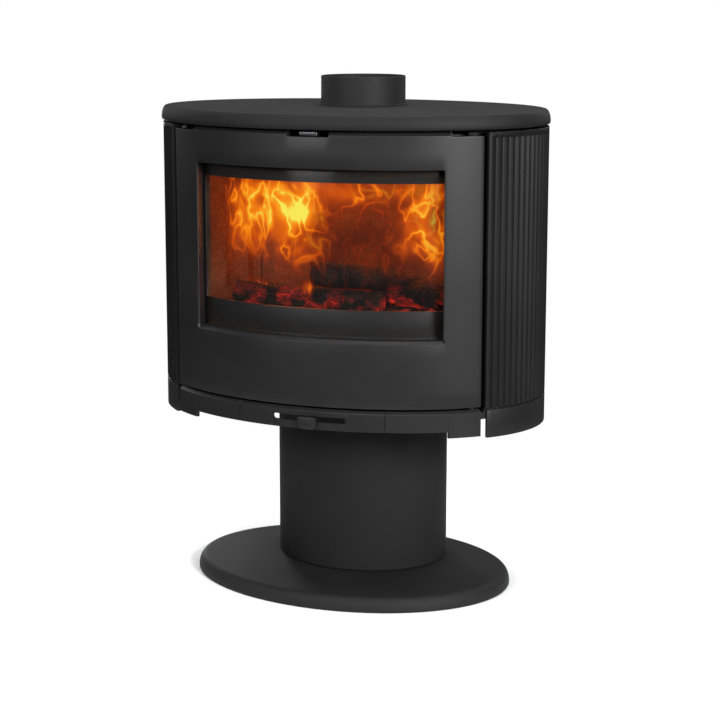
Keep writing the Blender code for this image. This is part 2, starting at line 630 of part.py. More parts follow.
# ---------------------------------------------------------------- air controls
def primary_air():
    top = FLOOR_Z - SLIDER_CLEARANCE
    bottom = top - SLIDER_THICKNESS
    anchor = pivot("primary_air_axis", (0, SLIDER_MIDDLE_Y, bottom))
    back = SLIDER_MIDDLE_Y + SLIDER_DEPTH / 2
    front = SLIDER_MIDDLE_Y - SLIDER_DEPTH / 2
    tip = front_y(0) - SLIDER_CLEARANCE * 2
    slider = solid("air_slider", ((-SLIDER_HALF, front, bottom), (SLIDER_HALF, back, top)),
                   "bare_steel", anchor)
    arm = solid("air_slider_arm", ((-ARM_HALF, tip, bottom), (ARM_HALF, front + PLATE, top)))
    cut(slider, arm, "UNION")
    for index, x in enumerate((-SLIDER_HALF / 2, SLIDER_HALF / 2), 1):
        cut_box(slider, f"slider_port_{index}", port(x, SLIDER_MIDDLE_Y, (bottom - PLATE, top + PLATE)))
    tab_top = SLOT_Z + SLOT_HEIGHT * 0.4
    tab_front = tip - GAP - TAB_THICKNESS
    tab = solid("air_tab", ((-TAB_HALF, tab_front, tab_top - TAB_HEIGHT), (TAB_HALF, tip - GAP, tab_top)),
                "matte_black", anchor)
    soften(tab, TAB_THICKNESS / 4)

    room = SLIDER_CLEARANCE
    half = SLIDER_HALF + AIR_TRAVEL + GUIDE_RAIL
    low = bottom - room - GUIDE_WALL
    guide = solid("air_guide", ((-half, front - room - GUIDE_RAIL, low),
                                (half, back + room + GUIDE_RAIL, FLOOR_Z - GAP)), "matte_black")
    cut_box(guide, "guide_channel", ((-half + GUIDE_RAIL / 2, front - room, bottom - room),
                                     (half - GUIDE_RAIL / 2, back + room, FLOOR_Z + PLATE)))
    arm_room = ARM_HALF + AIR_TRAVEL + 2 * room
    cut_box(guide, "guide_gate", ((-arm_room, front - 2 * GUIDE_RAIL, bottom - room),
                                  (arm_room, front, FLOOR_Z + PLATE)))
    for index, x in enumerate((-SLIDER_HALF / 2, SLIDER_HALF / 2), 1):
        cut_box(guide, f"guide_port_{index}", port(x, SLIDER_MIDDLE_Y, (low - PLATE, bottom)))


def soften(obj, width):
    bevel = obj.modifiers.new("Edges", "BEVEL")
    bevel.width = width
    bevel.segments = 2
    bevel.limit_method = "ANGLE"


def airwash():
    bottom = CARCASS_TOP + SLIDER_CLEARANCE
    top = bottom + WASH_THICKNESS
    anchor = pivot("airwash_axis", (0, WASH_MIDDLE_Y, bottom))
    back = WASH_MIDDLE_Y + WASH_DEPTH / 2
    front = WASH_MIDDLE_Y - WASH_DEPTH / 2
    knob_back = front_y(0) + DOOR_THICKNESS
    slider = solid("airwash_slider", ((-WASH_HALF, front, bottom), (WASH_HALF, back, top)), "bare_steel",
                   anchor)
    cut(slider, solid("airwash_arm", ((-ARM_HALF, knob_back + GAP, bottom),
                                      (ARM_HALF, front + PLATE, top))), "UNION")
    for index, x in enumerate((-WASH_HALF / 2, WASH_HALF / 2), 1):
        cut_box(slider, f"airwash_window_{index}",
                port(x, WASH_MIDDLE_Y, (bottom - PLATE, top + PLATE), (0.006, 0.008)))
    clear = SLIDER_CLEARANCE * 2
    knob = solid("airwash_knob", ((-KNOB_HALF, front_y(CENTRE_NOTCH_HALF) + clear, CENTRE_NOTCH_Z + clear),
                                  (KNOB_HALF, knob_back, DOOR_TOP)), "bare_steel", anchor)
    soften(knob, CENTRE_NOTCH_DEPTH / 4)

    room = SLIDER_CLEARANCE
    half = WASH_HALF + WASH_TRAVEL + GUIDE_RAIL
    guide = solid("airwash_guide", ((-half, front - room - GUIDE_RAIL / 2, CARCASS_TOP + GAP),
                                    (half, back + room + GUIDE_RAIL / 2, TOP_Z - GAP)), "matte_black")
    cut_box(guide, "wash_channel", ((-half - PLATE, front - room, CARCASS_TOP - PLATE),
                                    (half + PLATE, back + room, top + room)))
    arm_room = ARM_HALF + WASH_TRAVEL + 2 * room
    cut_box(guide, "wash_gate", ((-arm_room, front - GUIDE_RAIL, CARCASS_TOP - PLATE),
                                 (arm_room, front, top + room)))


# ---------------------------------------------------------------- door
def door():
    hinge = oval(math.radians(HINGE_DEG), HINGE_INSET)
    anchor = pivot("door_axis", (hinge[0], hinge[1], DOOR_BOTTOM))
    end = angle_at(DOOR_HALF_WIDTH)
    frame = shell("door_frame", (-end, end), (0, DOOR_THICKNESS), (DOOR_BOTTOM, DOOR_TOP), "matte_black",
                  anchor)
    cut_box(frame, "window", ((-WINDOW_HALF_WIDTH, -BODY_DEPTH, WINDOW_BOTTOM),
                              (WINDOW_HALF_WIDTH, 0, WINDOW_TOP)))
    cut_box(frame, "centre_notch", ((-CENTRE_NOTCH_HALF, -BODY_DEPTH, CENTRE_NOTCH_Z),
                                    (CENTRE_NOTCH_HALF, 0, DOOR_TOP + PLATE)))
    for side, sign in (("right", 1), ("left", -1)):
        inner, outer = sorted((sign * FOOT_X, sign * BODY_WIDTH))
        cut_box(frame, f"corner_notch_{side}", ((inner, -BODY_DEPTH, CORNER_NOTCH_Z),
                                                (outer, 0, DOOR_TOP + PLATE)))
    bore = PIN_R + PIN_CLEARANCE
    cut_bore(frame, "upper_bore", hinge, bore, (CORNER_NOTCH_Z - PIN_REACH - GAP, DOOR_TOP + PLATE))
    cut_bore(frame, "lower_bore", hinge, bore, (DOOR_BOTTOM - PLATE, DOOR_BOTTOM + PIN_REACH + GAP))
    glazing(anchor)
    seal(anchor)
    hinges(hinge)
    latch(anchor)


def glazing(anchor):
    side = angle_at(WINDOW_HALF_WIDTH + GLASS_LAP / 2, GLASS_OUT)
    levels = (WINDOW_BOTTOM - GLASS_LAP, WINDOW_TOP + GLASS_LAP)
    shell("door_glass", (-side, side), (GLASS_OUT, GLASS_IN), levels, "glass", anchor)
    insets = (GLASS_IN + GAP, GLASS_IN + GAP + RETAINER_THICKNESS)
    low = levels[0]
    high = levels[1]
    for place, edges in (("bottom", (low, low + RETAINER_HEIGHT)), ("top", (high - RETAINER_HEIGHT, high))):
        shell(f"glass_retainer_{place}", (-side, side), insets, edges, "matte_black", anchor)


def seal(anchor):
    """Rope seal on the door's back: a closed ring around the fire and ash openings."""
    insets = (DOOR_THICKNESS + GAP, FRAME_OUT - GAP)
    levels = (DOOR_BOTTOM + SEAL_BAND / 2, WALL_TOP - SEAL_BAND / 5)
    outer = SEAL_OUTER_DEG
    inner = SEAL_OUTER_DEG - SEAL_WIDTH_DEG
    rope = shell("door_seal", (-outer, outer), insets, levels, "rope", anchor)
    middle = shell("seal_middle", (-inner, inner), (0, FRAME_IN + PLATE),
                   (levels[0] + SEAL_BAND, levels[1] - SEAL_BAND), "rope")
    cut(rope, middle)


def hinges(hinge):
    """Fixed brackets on the carcass, each with its pin in the door."""
    x, y = hinge
    arm_z = CORNER_NOTCH_Z + (CORNER_NOTCH_DEPTH - BRACKET_THICKNESS) / 2
    arm_z = max(arm_z, CARCASS_TOP + GAP)
    back = front_y(x - BRACKET_HALF, FRAME_OUT) + 6 * PLATE
    upper = solid("hinge_bracket_top",
                  ((x - BRACKET_HALF, y - BRACKET_HALF, arm_z),
                   (x + BRACKET_HALF, back, arm_z + BRACKET_THICKNESS)), "matte_black")
    cut(upper, rod("upper_pin", hinge, PIN_R, (CORNER_NOTCH_Z - PIN_REACH, arm_z + PIN_R / 2),
                   collection=CUTTERS), "UNION")
    low = FLOOR_TOP + GAP
    back = front_y(x - BRACKET_HALF, FRAME_OUT) - GAP
    front = front_y(x + BRACKET_HALF, SKIRT_THICKNESS) + GAP
    lower = solid("hinge_bracket_bottom",
                  ((x - BRACKET_HALF, max(front, y - BRACKET_HALF), low),
                   (x + BRACKET_HALF, back, low + BRACKET_THICKNESS)), "matte_black")
    cut(lower, rod("lower_pin", hinge, PIN_R, (low + PIN_R / 2, DOOR_BOTTOM + PIN_REACH),
                   collection=CUTTERS), "UNION")
    cut(lower, rod("lower_thrust_collar", hinge, PIN_R * 1.6, (low + PIN_R / 2, DOOR_BOTTOM - GAP),
                   collection=CUTTERS), "UNION")


def direction(degrees, length):
    return length * math.cos(math.radians(degrees)), length * math.sin(math.radians(degrees))


def latch(anchor):
    """Latch on an upright spindle: a finger in the left notch and a tail that hooks the keeper.

    It stands released, so that the door opens. Turning it clockwise puts the tail behind the keeper.
    """
    x, y = oval(-math.radians(LATCH_DEG), LATCH_INSET)
    spindle = pivot("latch_axis", (x, y, CORNER_NOTCH_Z))
    put_under(spindle, anchor)
    bpy.context.view_layer.update()
    lever_z = CARCASS_TOP + SLIDER_CLEARANCE * 2
    lever_top = lever_z + BRACKET_THICKNESS * 0.9
    outline = []
    for angle, length in ((LATCH_FINGER_DEG, LATCH_FINGER), (LATCH_TAIL_DEG, LATCH_TAIL)):
        along = direction(angle, length)
        across = direction(angle + 90, LATCH_HALF)
        outline += [(x - across[0], y - across[1]), (x + along[0] - across[0], y + along[1] - across[1]),
                    (x + along[0] + across[0], y + along[1] + across[1]), (x + across[0], y + across[1])]
    lever = plate("latch_lever", [outline[0:4]], lever_z, lever_top, "bare_steel", spindle)
    tail = plate("latch_tail_guide", [outline[4:8]], lever_z, lever_top, "bare_steel")
    cut(lever, tail, "UNION")
    hub = rod("latch_hub_guide", (x, y), PIN_R * 1.6, (lever_z, lever_top), collection=CUTTERS)
    cut(lever, hub, "UNION")
    rod_bottom = CORNER_NOTCH_Z - 2 * LATCH_GUIDE_HEIGHT
    cut_bore(lever, "latch_hub_bore", (x, y), PIN_R + GAP / 2, (rod_bottom, TOP_Z + PLATE))
    rod("latch_spindle", (x, y), PIN_R, (rod_bottom, lever_top), "bare_steel", spindle)
    half = math.degrees((PIN_R * 1.6) / (BODY_DEPTH / 2 + DOOR_THICKNESS * 4))
    guide_top = CORNER_NOTCH_Z - LATCH_GUIDE_HEIGHT / 2
    guide = shell("latch_guide", (-LATCH_DEG - half, -LATCH_DEG + half),
                  (DOOR_THICKNESS + GAP, FRAME_OUT - 2 * GAP), (guide_top - LATCH_GUIDE_HEIGHT, guide_top),
                  "matte_black", anchor)
    cut_bore(guide, "latch_guide_bore", (x, y), PIN_R + GAP, (rod_bottom - PLATE, TOP_Z))
    locked_deg = LATCH_TAIL_DEG - LATCH_TURN_DEG
    locked = direction(locked_deg, LATCH_TAIL * 0.9)
    slope = math.radians(locked_deg)
    keeper_x = x + locked[0]
    keeper_y = (y + locked[1] - KEEPER_HALF * math.tan(slope) - LATCH_HALF / math.cos(slope)
                - SLIDER_CLEARANCE)
    solid("latch_keeper", ((keeper_x - KEEPER_HALF, keeper_y - 2 * LATCH_HALF, CARCASS_TOP + GAP),
                           (keeper_x + KEEPER_HALF, keeper_y, TOP_Z - GAP)), "bare_steel")


clear_scene()
PARTS = new_collection("wood_burning_stove")
CUTTERS = new_collection("cutters")
pedestal()
floor_plate()
carcass()
top_and_collar()
side_panels()
skirts()
firebox()
ash_pan()
primary_air()
airwash()
door()
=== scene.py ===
# %% [markdown]
# # A wood burning stove on a pedestal
#
# The real stove is a steel firebox inside an oval black skin. It stands on an oval column and a
# heavy oval base. A curved door with a large pane closes the front, fluted castings cover the
# sides, and a short flue collar stands on the thick top plate.
#
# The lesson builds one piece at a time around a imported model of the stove, which gives every
# position. Nearly every visible part is a flat sheet that was rolled to the same oval, so one
# way of working does most of them: cut the sheet flat, give it thickness, soften its edges and
# roll it.

import json
import math

import bmesh
import bpy
import numpy as np
from mathutils import Matrix, Vector, noise


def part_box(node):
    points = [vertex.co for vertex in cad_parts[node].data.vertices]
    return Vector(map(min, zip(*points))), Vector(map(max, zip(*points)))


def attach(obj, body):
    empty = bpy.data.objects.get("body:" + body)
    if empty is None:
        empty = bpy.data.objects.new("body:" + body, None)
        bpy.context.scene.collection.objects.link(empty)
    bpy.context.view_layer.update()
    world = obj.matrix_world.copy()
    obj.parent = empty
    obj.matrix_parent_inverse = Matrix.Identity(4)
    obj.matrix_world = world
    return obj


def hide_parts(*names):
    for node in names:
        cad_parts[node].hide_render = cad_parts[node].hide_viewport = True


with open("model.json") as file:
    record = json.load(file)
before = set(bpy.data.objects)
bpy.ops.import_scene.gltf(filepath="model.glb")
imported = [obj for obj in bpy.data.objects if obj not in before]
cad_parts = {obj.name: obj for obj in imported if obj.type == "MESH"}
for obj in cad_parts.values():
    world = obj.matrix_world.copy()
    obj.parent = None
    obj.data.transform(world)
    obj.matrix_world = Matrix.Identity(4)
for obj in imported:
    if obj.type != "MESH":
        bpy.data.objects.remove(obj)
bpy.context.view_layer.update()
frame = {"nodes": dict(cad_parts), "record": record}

# %% [markdown]
# ## Camera and light
#
# A stove like this is shown from a little to its right and a little above, with a long lens so
# that its uprights stay nearly parallel. Matte black paint shows little but what it reflects, so
# the lights are wide and soft. Two very wide suns light the floor and the upper faces. A strong
# softbox on the right and a weaker one left of the camera give the front its shape, and three
# faint ones keep the far side and the back readable. The room is white where the camera sees it
# and dim for everything else, so that it doesn't wash out the paint.

# %% Camera
lens = bpy.data.cameras.new("camera")
lens.lens = 83.2417
lens.shift_x, lens.shift_y = 0.01654, -0.12
camera = bpy.data.objects.new("camera", lens)
camera.location = (0.9465, -2.7511, 1.0214)
camera.rotation_euler = (math.radians(80.7815), 0, math.radians(19.1297))
bpy.context.scene.collection.objects.link(camera)
bpy.context.scene.camera = camera
bpy.context.scene.view_settings.view_transform = "Standard"
print("camera at", tuple(round(c, 3) for c in camera.location))


# %% Soft lights and a white room
def add_light(name, kind, power):
    data = bpy.data.lights.new(name, kind)
    data.energy = power
    light = bpy.data.objects.new(name, data)
    bpy.context.scene.collection.objects.link(light)
    return light


def softbox(name, place, aim_z, size, power):
    """A square area light that looks at a height on the stove's axis."""
    light = add_light(name, "AREA", power)
    light.data.shape = "SQUARE"
    light.data.size = size
    light.location = place
    light.rotation_euler = (Vector((0, 0, aim_z)) - Vector(place)).to_track_quat("-Z", "Y").to_euler()


def soft_sun(name, tilt, softness, power):
    """A sun as wide as a patch of bright sky, which lights the whole floor evenly."""
    light = add_light(name, "SUN", power)
    light.data.angle = math.radians(softness)
    light.rotation_euler = (math.radians(tilt), 0, 0)


soft_sun("overhead", 5, 30, 1.6)
soft_sun("from_behind", -25, 60, 1.4)
softbox("on_the_right", (2.07, -1.74, 1.33), 0.6, 0.8, 96)
softbox("left_of_camera", (-0.90, -2.47, 1.56), 0.6, 0.8, 40)
softbox("far_left", (-2.60, 0.70, 1.60), 0.5, 1.4, 14)
softbox("behind_on_the_right", (1.45, 2.50, 1.60), 0.5, 1.4, 9)
softbox("low_behind", (-1.70, 2.20, 0.38), 0.45, 0.7, 16)

SHARE, COLOUR_A, COLOUR_B = 0, 6, 7  # inputs of a Mix node that mixes two colours
MIXED = 2                            # its output
DIM = 0.04

room = bpy.data.worlds.new("dim_room")
room.use_nodes = True
wall = room.node_tree.nodes["Background"]
wall.inputs["Strength"].default_value = 1.0
seen = room.node_tree.nodes.new("ShaderNodeLightPath").outputs["Is Camera Ray"]
tone = room.node_tree.nodes.new("ShaderNodeMix")
tone.data_type = "RGBA"
tone.inputs[COLOUR_A].default_value = (DIM, DIM, DIM, 1)
tone.inputs[COLOUR_B].default_value = (1, 1, 1, 1)
room.node_tree.links.new(seen, tone.inputs[SHARE])
room.node_tree.links.new(tone.outputs[MIXED], wall.inputs["Color"])
bpy.context.scene.world = room

# %% [markdown]
# ## Finishes
#
# The stove wears few finishes: a sprayed matte paint that stands high heat, in four degrees of
# gloss and grit, a little bare steel, ceramic glass, rope, firebrick and the fire itself. Each is
# built from nodes, so that it has no flat areas. In the paint a slow cloud changes the tone, a
# fine grit makes the bump, and edges are painted a little lighter, partly as rubbed wear and
# partly as a painted highlight. The paint of the fluted sides is darker, as painted shade. All
# patterns read Object coordinates, in metres, so their scales are real ones.


# %% A small helper for node graphs
class Graph:
    """Adds shader nodes by name and links what is already a socket."""

    def __init__(self, name, **settings):
        self.material = bpy.data.materials.new(name)
        self.material.use_nodes = True
        self.tree = self.material.node_tree
        self.shader = self.tree.nodes["Principled BSDF"]
        self.set(self.shader, settings)
        self.place = self.add("TexCoord").outputs["Object"]

    def set(self, node, inputs):
        for key, value in inputs.items():
            socket = node.inputs[key.replace("_", " ") if isinstance(key, str) else key]
            if isinstance(value, bpy.types.NodeSocket):
                self.tree.links.new(value, socket)
            else:
                socket.default_value = value

    def add(self, kind, inputs=None, **settings):
        node = self.tree.nodes.new("ShaderNode" + kind)
        for key, value in settings.items():
            setattr(node, key, value)
        self.set(node, inputs or {})
        return node

    def mapped(self, place, **change):
        """The same place, moved, turned or scaled."""
        return self.add("Mapping", {"Vector": place, **change}).outputs[0]

    def noise(self, scale, detail=3.0, place=None):
        values = {"Vector": place or self.place, "Scale": scale, "Detail": detail}
        return self.add("TexNoise", values).outputs[0]

    def ramp(self, value, *stops):
        """Colours from (position, colour) stops in rising order."""
        node = self.add("ValToRGB", {"Fac": value})
        elements = node.color_ramp.elements
        elements[0].position, elements[0].color = stops[0][0], (*stops[0][1], 1)
        elements[1].position, elements[1].color = stops[-1][0], (*stops[-1][1], 1)
        for position, colour in stops[1:-1]:
            elements.new(position).color = (*colour, 1)
        return node.outputs["Color"]

    def span(self, value, low, high, to_low=0.0, to_high=1.0):
        """Stretches low..high to a new range and clamps what lies outside."""
        return self.add("MapRange", {"Value": value, "From Min": low, "From Max": high,
                                     "To Min": to_low, "To Max": to_high}).outputs[0]

    def math(self, operation, first, second=0.0):
        return self.add("Math", {0: first, 1: second}, operation=operation).outputs[0]

    def blend(self, share, first, second):
        """Mixes two colours, each a socket or three plain numbers."""
        first, second = (c if isinstance(c, bpy.types.NodeSocket) else (*c, 1) for c in (first, second))
        inputs = {SHARE: share, COLOUR_A: first, COLOUR_B: second}
        return self.add("Mix", inputs, data_type="RGBA").outputs[MIXED]

    def bump(self, height, strength, distance):
        node = self.add("Bump", {"Height": height, "Strength": strength, "Distance": distance})
        self.set(self.shader, {"Normal": node.outputs[0]})


# %% Matte paint, from smooth sheet to rough casting
WEAR_AND_HIGHLIGHT_SHARE = 0.55    # how much of an edge is lightened: rubbed wear and painted highlight
WEAR_AND_HIGHLIGHT_LIGHTER = 3.0   # how much lighter the paint is there, as wear and painted highlight


def stove_paint(name, dark, light, gloss, sheen, grit, grit_depth):
    """Sprayed black paint: cloudy tone, fine grit, and edges lighter as wear and painted highlight."""
    g = Graph(name, Metallic=0.0, Specular_IOR_Level=sheen)
    cloud = g.noise(7.0, 4.0)
    speck = g.noise(grit, 2.0)
    tone = g.ramp(cloud, (0.3, dark), (0.7, light))
    # Softened edges are lightened in patches: partly rubbed wear, partly a painted highlight.
    wear_and_highlight = g.add("Attribute", attribute_name="wear_and_highlight").outputs["Fac"]
    patchy_worn_highlit_edges = g.math("MULTIPLY", wear_and_highlight, g.span(g.noise(60.0, 4.0), 0.35, 0.65))
    worn_highlit_edge_colour = tuple(WEAR_AND_HIGHLIGHT_LIGHTER * c for c in light)
    uneven = g.math("ADD", cloud, g.math("MULTIPLY", speck, 0.4))
    g.set(g.shader, {"Base Color": g.blend(g.math("MULTIPLY", patchy_worn_highlit_edges, WEAR_AND_HIGHLIGHT_SHARE), tone, worn_highlit_edge_colour),
                     "Roughness": g.span(uneven, 0.45, 0.95, *gloss)})
    g.bump(speck, 0.35, grit_depth)
    return g.material


sheet_paint = stove_paint("matte_sheet_paint", (0.0095, 0.0095, 0.0098), (0.0130, 0.0130, 0.0134),
                          gloss=(0.43, 0.51), sheen=0.30, grit=900.0, grit_depth=0.0004)
cast_paint = stove_paint("matte_cast_paint", (0.0085, 0.0085, 0.0088), (0.0130, 0.0130, 0.0134),
                         gloss=(0.60, 0.70), sheen=0.22, grit=420.0, grit_depth=0.0009)
dull_paint = stove_paint("dull_matte_paint", (0.0105, 0.0105, 0.0108), (0.0145, 0.0145, 0.0149),
                         gloss=(0.72, 0.82), sheen=0.14, grit=600.0, grit_depth=0.0006)
# The rib paint is darker than the others as painted shade, for sides that face away from the lights.
shaded_rib_paint = stove_paint("shaded_rib_paint", (0.0075, 0.0075, 0.0078), (0.0105, 0.0105, 0.0108),
                        gloss=(0.42, 0.50), sheen=0.16, grit=600.0, grit_depth=0.0005)
print("paints:", sheet_paint.name, cast_paint.name, dull_paint.name, shaded_rib_paint.name)


# %% Bare steel, glass, rope and firebrick
def brushed_steel():
    """Dull steel with fine brush lines along X."""
    g = Graph("bare_steel", Metallic=1.0)
    lines = g.noise(300.0, 2.0, g.mapped(g.place, Scale=(0.08, 1.0, 1.0)))
    tone = g.ramp(g.noise(30.0), (0.3, (0.05, 0.05, 0.052)), (0.7, (0.10, 0.10, 0.104)))
    g.set(g.shader, {"Base Color": tone, "Roughness": g.span(lines, 0.3, 0.7, 0.32, 0.48)})
    g.bump(lines, 0.2, 0.0002)
    return g.material


SOOT_SIDE, SOOT_END = 0.035, 0.030  # how far the haze creeps in from the pane's edges


def ceramic_glass(low, high, half):
    """Clear pane whose edges hold a brown haze of soot."""
    g = Graph("ceramic_glass", Roughness=0.14, IOR=1.5, Specular_IOR_Level=0.2)
    parts = g.add("SeparateXYZ", {"Vector": g.place})
    across = g.span(g.math("ABSOLUTE", parts.outputs["X"]), half - SOOT_SIDE, half)
    up = g.span(parts.outputs["Z"], high - SOOT_END, high)
    down = g.span(parts.outputs["Z"], low + SOOT_END, low)
    edge = g.math("MAXIMUM", across, g.math("MAXIMUM", up, down))
    smoke = g.math("MULTIPLY", edge, g.span(g.noise(22.0, 5.0), 0.3, 0.75))
    g.set(g.shader, {"Base Color": g.blend(smoke, (0.02, 0.02, 0.02), (0.05, 0.03, 0.015)),
                     "Alpha": g.span(smoke, 0.0, 1.0, 0.10, 0.45)})
    g.material.blend_method = "BLEND"
    return g.material


def braided_rope():
    """Two slanting waves that cross, like the strands of a braid."""
    g = Graph("glass_fibre_rope", Metallic=0.0, Roughness=0.9)
    strands = [g.add("TexWave", {"Vector": g.mapped(g.place, Rotation=turn), "Scale": 130.0,
                                 "Distortion": 1.5, "Detail": 1.0}).outputs["Fac"]
               for turn in ((0.6, 0.8, 0.0), (-0.6, -0.8, 0.3))]
    weave = g.math("MAXIMUM", *strands)
    g.set(g.shader, {"Base Color": g.ramp(weave, (0.2, (0.03, 0.03, 0.03)), (0.9, (0.13, 0.13, 0.125)))})
    g.bump(weave, 0.8, 0.0012)
    return g.material


def firebrick():
    """Pressed vermiculite board: pale flakes under clouds of soot."""
    g = Graph("vermiculite", Metallic=0.0, Roughness=0.9, Specular_IOR_Level=0.1)
    flakes = g.add("TexVoronoi", {"Vector": g.place, "Scale": 260.0}).outputs["Color"]
    flake = g.add("SeparateColor", {"Color": flakes}).outputs[0]
    board = g.ramp(flake, (0.0, (0.055, 0.034, 0.019)), (0.6, (0.070, 0.044, 0.025)),
                   (1.0, (0.090, 0.060, 0.036)))
    soot = g.math("MULTIPLY", g.span(g.noise(9.0, 5.0), 0.40, 0.70), 0.85)
    g.set(g.shader, {"Base Color": g.blend(soot, board, (0.014, 0.010, 0.008))})
    g.bump(flake, 0.25, 0.001)
    return g.material


def bare_casting():
    """Unpainted iron with a little rust."""
    g = Graph("bare_casting", Metallic=0.4)
    rust = g.noise(35.0, 6.0)
    g.set(g.shader, {"Base Color": g.ramp(rust, (0.35, (0.05, 0.045, 0.04)), (0.75, (0.11, 0.07, 0.045))),
                     "Roughness": g.span(rust, 0.3, 0.7, 0.6, 0.85)})
    g.bump(g.noise(500.0, 3.0), 0.5, 0.0008)
    return g.material


GLASS_LAP = 0.014     # the pane reaches this far behind the door's plate
WINDOW_HALF = 0.2175  # half the width of the door's window
pane_low, pane_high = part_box("door_glass")
window_low, window_high = pane_low.z + GLASS_LAP, pane_high.z - GLASS_LAP
steel = brushed_steel()
glass = ceramic_glass(window_low, window_high, WINDOW_HALF)
rope = braided_rope()
brick = firebrick()
casting = bare_casting()
SLOT_FINISH = {"matte_black": sheet_paint, "cast_black": cast_paint, "bare_steel": steel,
               "glass": glass, "rope": rope, "firebrick": brick, "grate_iron": casting}
print("finishes:", len(SLOT_FINISH), "| window from", round(window_low, 4), "to", round(window_high, 4))

# %% [markdown]
# ## Working on the oval
#
# Door, sides, skirts and firebox all follow one oval. It is easier to draw them flat: x is the
# distance walked along the skin from the front centre, y is the depth behind the skin and z is
# height. A roll then carries every point to the oval. That is also how a workshop makes them
# from sheet.

# %% Distances along the oval
skin_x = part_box("skirt_side_right")[1].x
skin_y = -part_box("door_frame")[0].y
turns = np.linspace(0, math.pi, 2001)
rim = np.stack([skin_x * np.sin(turns), -skin_y * np.cos(turns)], 1)
walked = np.concatenate([[0], np.cumsum(np.hypot(*np.diff(rim, axis=0).T))])


def turn_at(reach):
    """Angle on the oval after walking that far from the front centre."""
    return math.copysign(float(np.interp(abs(reach), walked, turns)), reach)


def reach_at(degrees):
    """Walk that ends at an angle on the oval."""
    return math.copysign(float(np.interp(math.radians(abs(degrees)), turns, walked)), degrees)


def reach_of_x(x, depth=0.0):
    """Walk at which the skin, or a sheet at some depth behind it, has a given x."""
    return reach_at(math.degrees(math.asin(x / (skin_x - depth))))


def on_oval(reach, depth, z):
    turn = turn_at(reach)
    return Vector(((skin_x - depth) * math.sin(turn), -(skin_y - depth) * math.cos(turn), z))


print("oval", round(2 * skin_x, 4), "by", round(2 * skin_y, 4), "m, round it", round(2 * walked[-1], 3), "m")


# %% Cut, thicken, soften and roll
TINY = 1e-6           # two places closer than this are the same
SHARP_EDGE = 0.6      # turn in radians that makes an edge a sharp one
WORN_HIGHLIT_EDGE = 0.0012  # faces narrower than this are softened edges


def between(start, end, pitch, *marks):
    """Grid lines from start to end, near an even pitch, with a line on every mark."""
    lines = sorted({start, end, *marks})
    filled = []
    for low, high in zip(lines, lines[1:]):
        count = max(1, round((high - low) / pitch))
        filled += [low + (high - low) * k / count for k in range(count)]
    return filled + [end]


def flat_sheet(columns, rows):
    """Flat sheet that faces -Y, with its grid lines where they are asked for."""
    bm = bmesh.new()
    across, up = len(columns) - 1, len(rows) - 1
    bmesh.ops.create_grid(bm, x_segments=across, y_segments=up, size=0.5)
    for vert in bm.verts:
        vert.co = (columns[round((vert.co.x + 0.5) * across)], 0, rows[round((vert.co.y + 0.5) * up)])
    return bm


def punch(bm, inside):
    """Removes the faces whose middle (x, z) is inside an opening."""
    doomed = [f for f in bm.faces if inside(f.calc_center_median().x, f.calc_center_median().z)]
    bmesh.ops.delete(bm, geom=doomed, context="FACES")


def thicken(bm, thickness):
    """Pulls a copy of the sheet backwards, which also makes the walls round its edges."""
    pulled = bmesh.ops.extrude_face_region(bm, geom=bm.faces[:], use_keep_orig=True)["geom"]
    bmesh.ops.translate(bm, verts=[v for v in pulled if isinstance(v, bmesh.types.BMVert)],
                        vec=(0, thickness, 0))
    bmesh.ops.recalc_face_normals(bm, faces=bm.faces)


def creased(edge, limit=SHARP_EDGE):
    return edge.is_manifold and edge.calc_face_angle(0) > limit


def level_at(edge, z):
    return all(abs(v.co.z - z) < TINY for v in edge.verts)


def soften(bm, width, steps=2, chosen=creased):
    """Bevels the chosen edges, by default every sharp one."""
    edges = [e for e in bm.edges if chosen(e)]
    bmesh.ops.bevel(bm, geom=edges, offset=width, offset_type="OFFSET", segments=steps, profile=0.5,
                    affect="EDGES", material=-1, clamp_overlap=True)


def roll(bm, straight=0.0):
    """Carries a flat piece to the oval. Within the straight reach, walls keep their x."""
    for vert in bm.verts:
        reach, depth, z = vert.co
        rolled = on_oval(reach, depth, z)
        if abs(reach) <= straight:
            x = skin_x * math.sin(turn_at(reach))
            rolled.x = x
            rolled.y = -(skin_y - depth) * math.sqrt(1 - (x / (skin_x - depth)) ** 2)
        vert.co = rolled


def rolled_sheet(columns, rows, thickness, edge, depth, *openings):
    """All the steps in a row, for a sheet that stands at some depth behind the skin."""
    sheet = flat_sheet(columns, rows)
    for inside in openings:
        punch(sheet, inside)
    thicken(sheet, thickness)
    soften(sheet, edge)
    for vert in sheet.verts:
        vert.co.y += depth
    roll(sheet)
    return sheet


def mark_worn_highlit_edges(bm):
    """Remembers the points on softened edges, which the paint lightens as wear and painted highlight."""
    layer = bm.verts.layers.float.new("wear_and_highlight")
    for vert in bm.verts:
        narrow = [min(e.calc_length() for e in f.edges) < WORN_HIGHLIT_EDGE for f in vert.link_faces]
        vert[layer] = 1.0 if narrow and all(narrow) else 0.0


def piece(name, bm, finish, body, slot, *nodes, smooth=40):
    """Turns the finished mesh into a piece of the stove that rides on a body."""
    mark_worn_highlit_edges(bm)
    mesh = bpy.data.meshes.new(name)
    bm.to_mesh(mesh)
    bm.free()
    mesh.shade_smooth()
    mesh.set_sharp_from_angle(angle=math.radians(smooth))
    mesh.materials.append(finish)
    obj = bpy.data.objects.new(name, mesh)
    bpy.context.scene.collection.objects.link(obj)
    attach(obj, body)
    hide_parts(*nodes)
    print(f"{name}: {len(mesh.polygons)} faces")


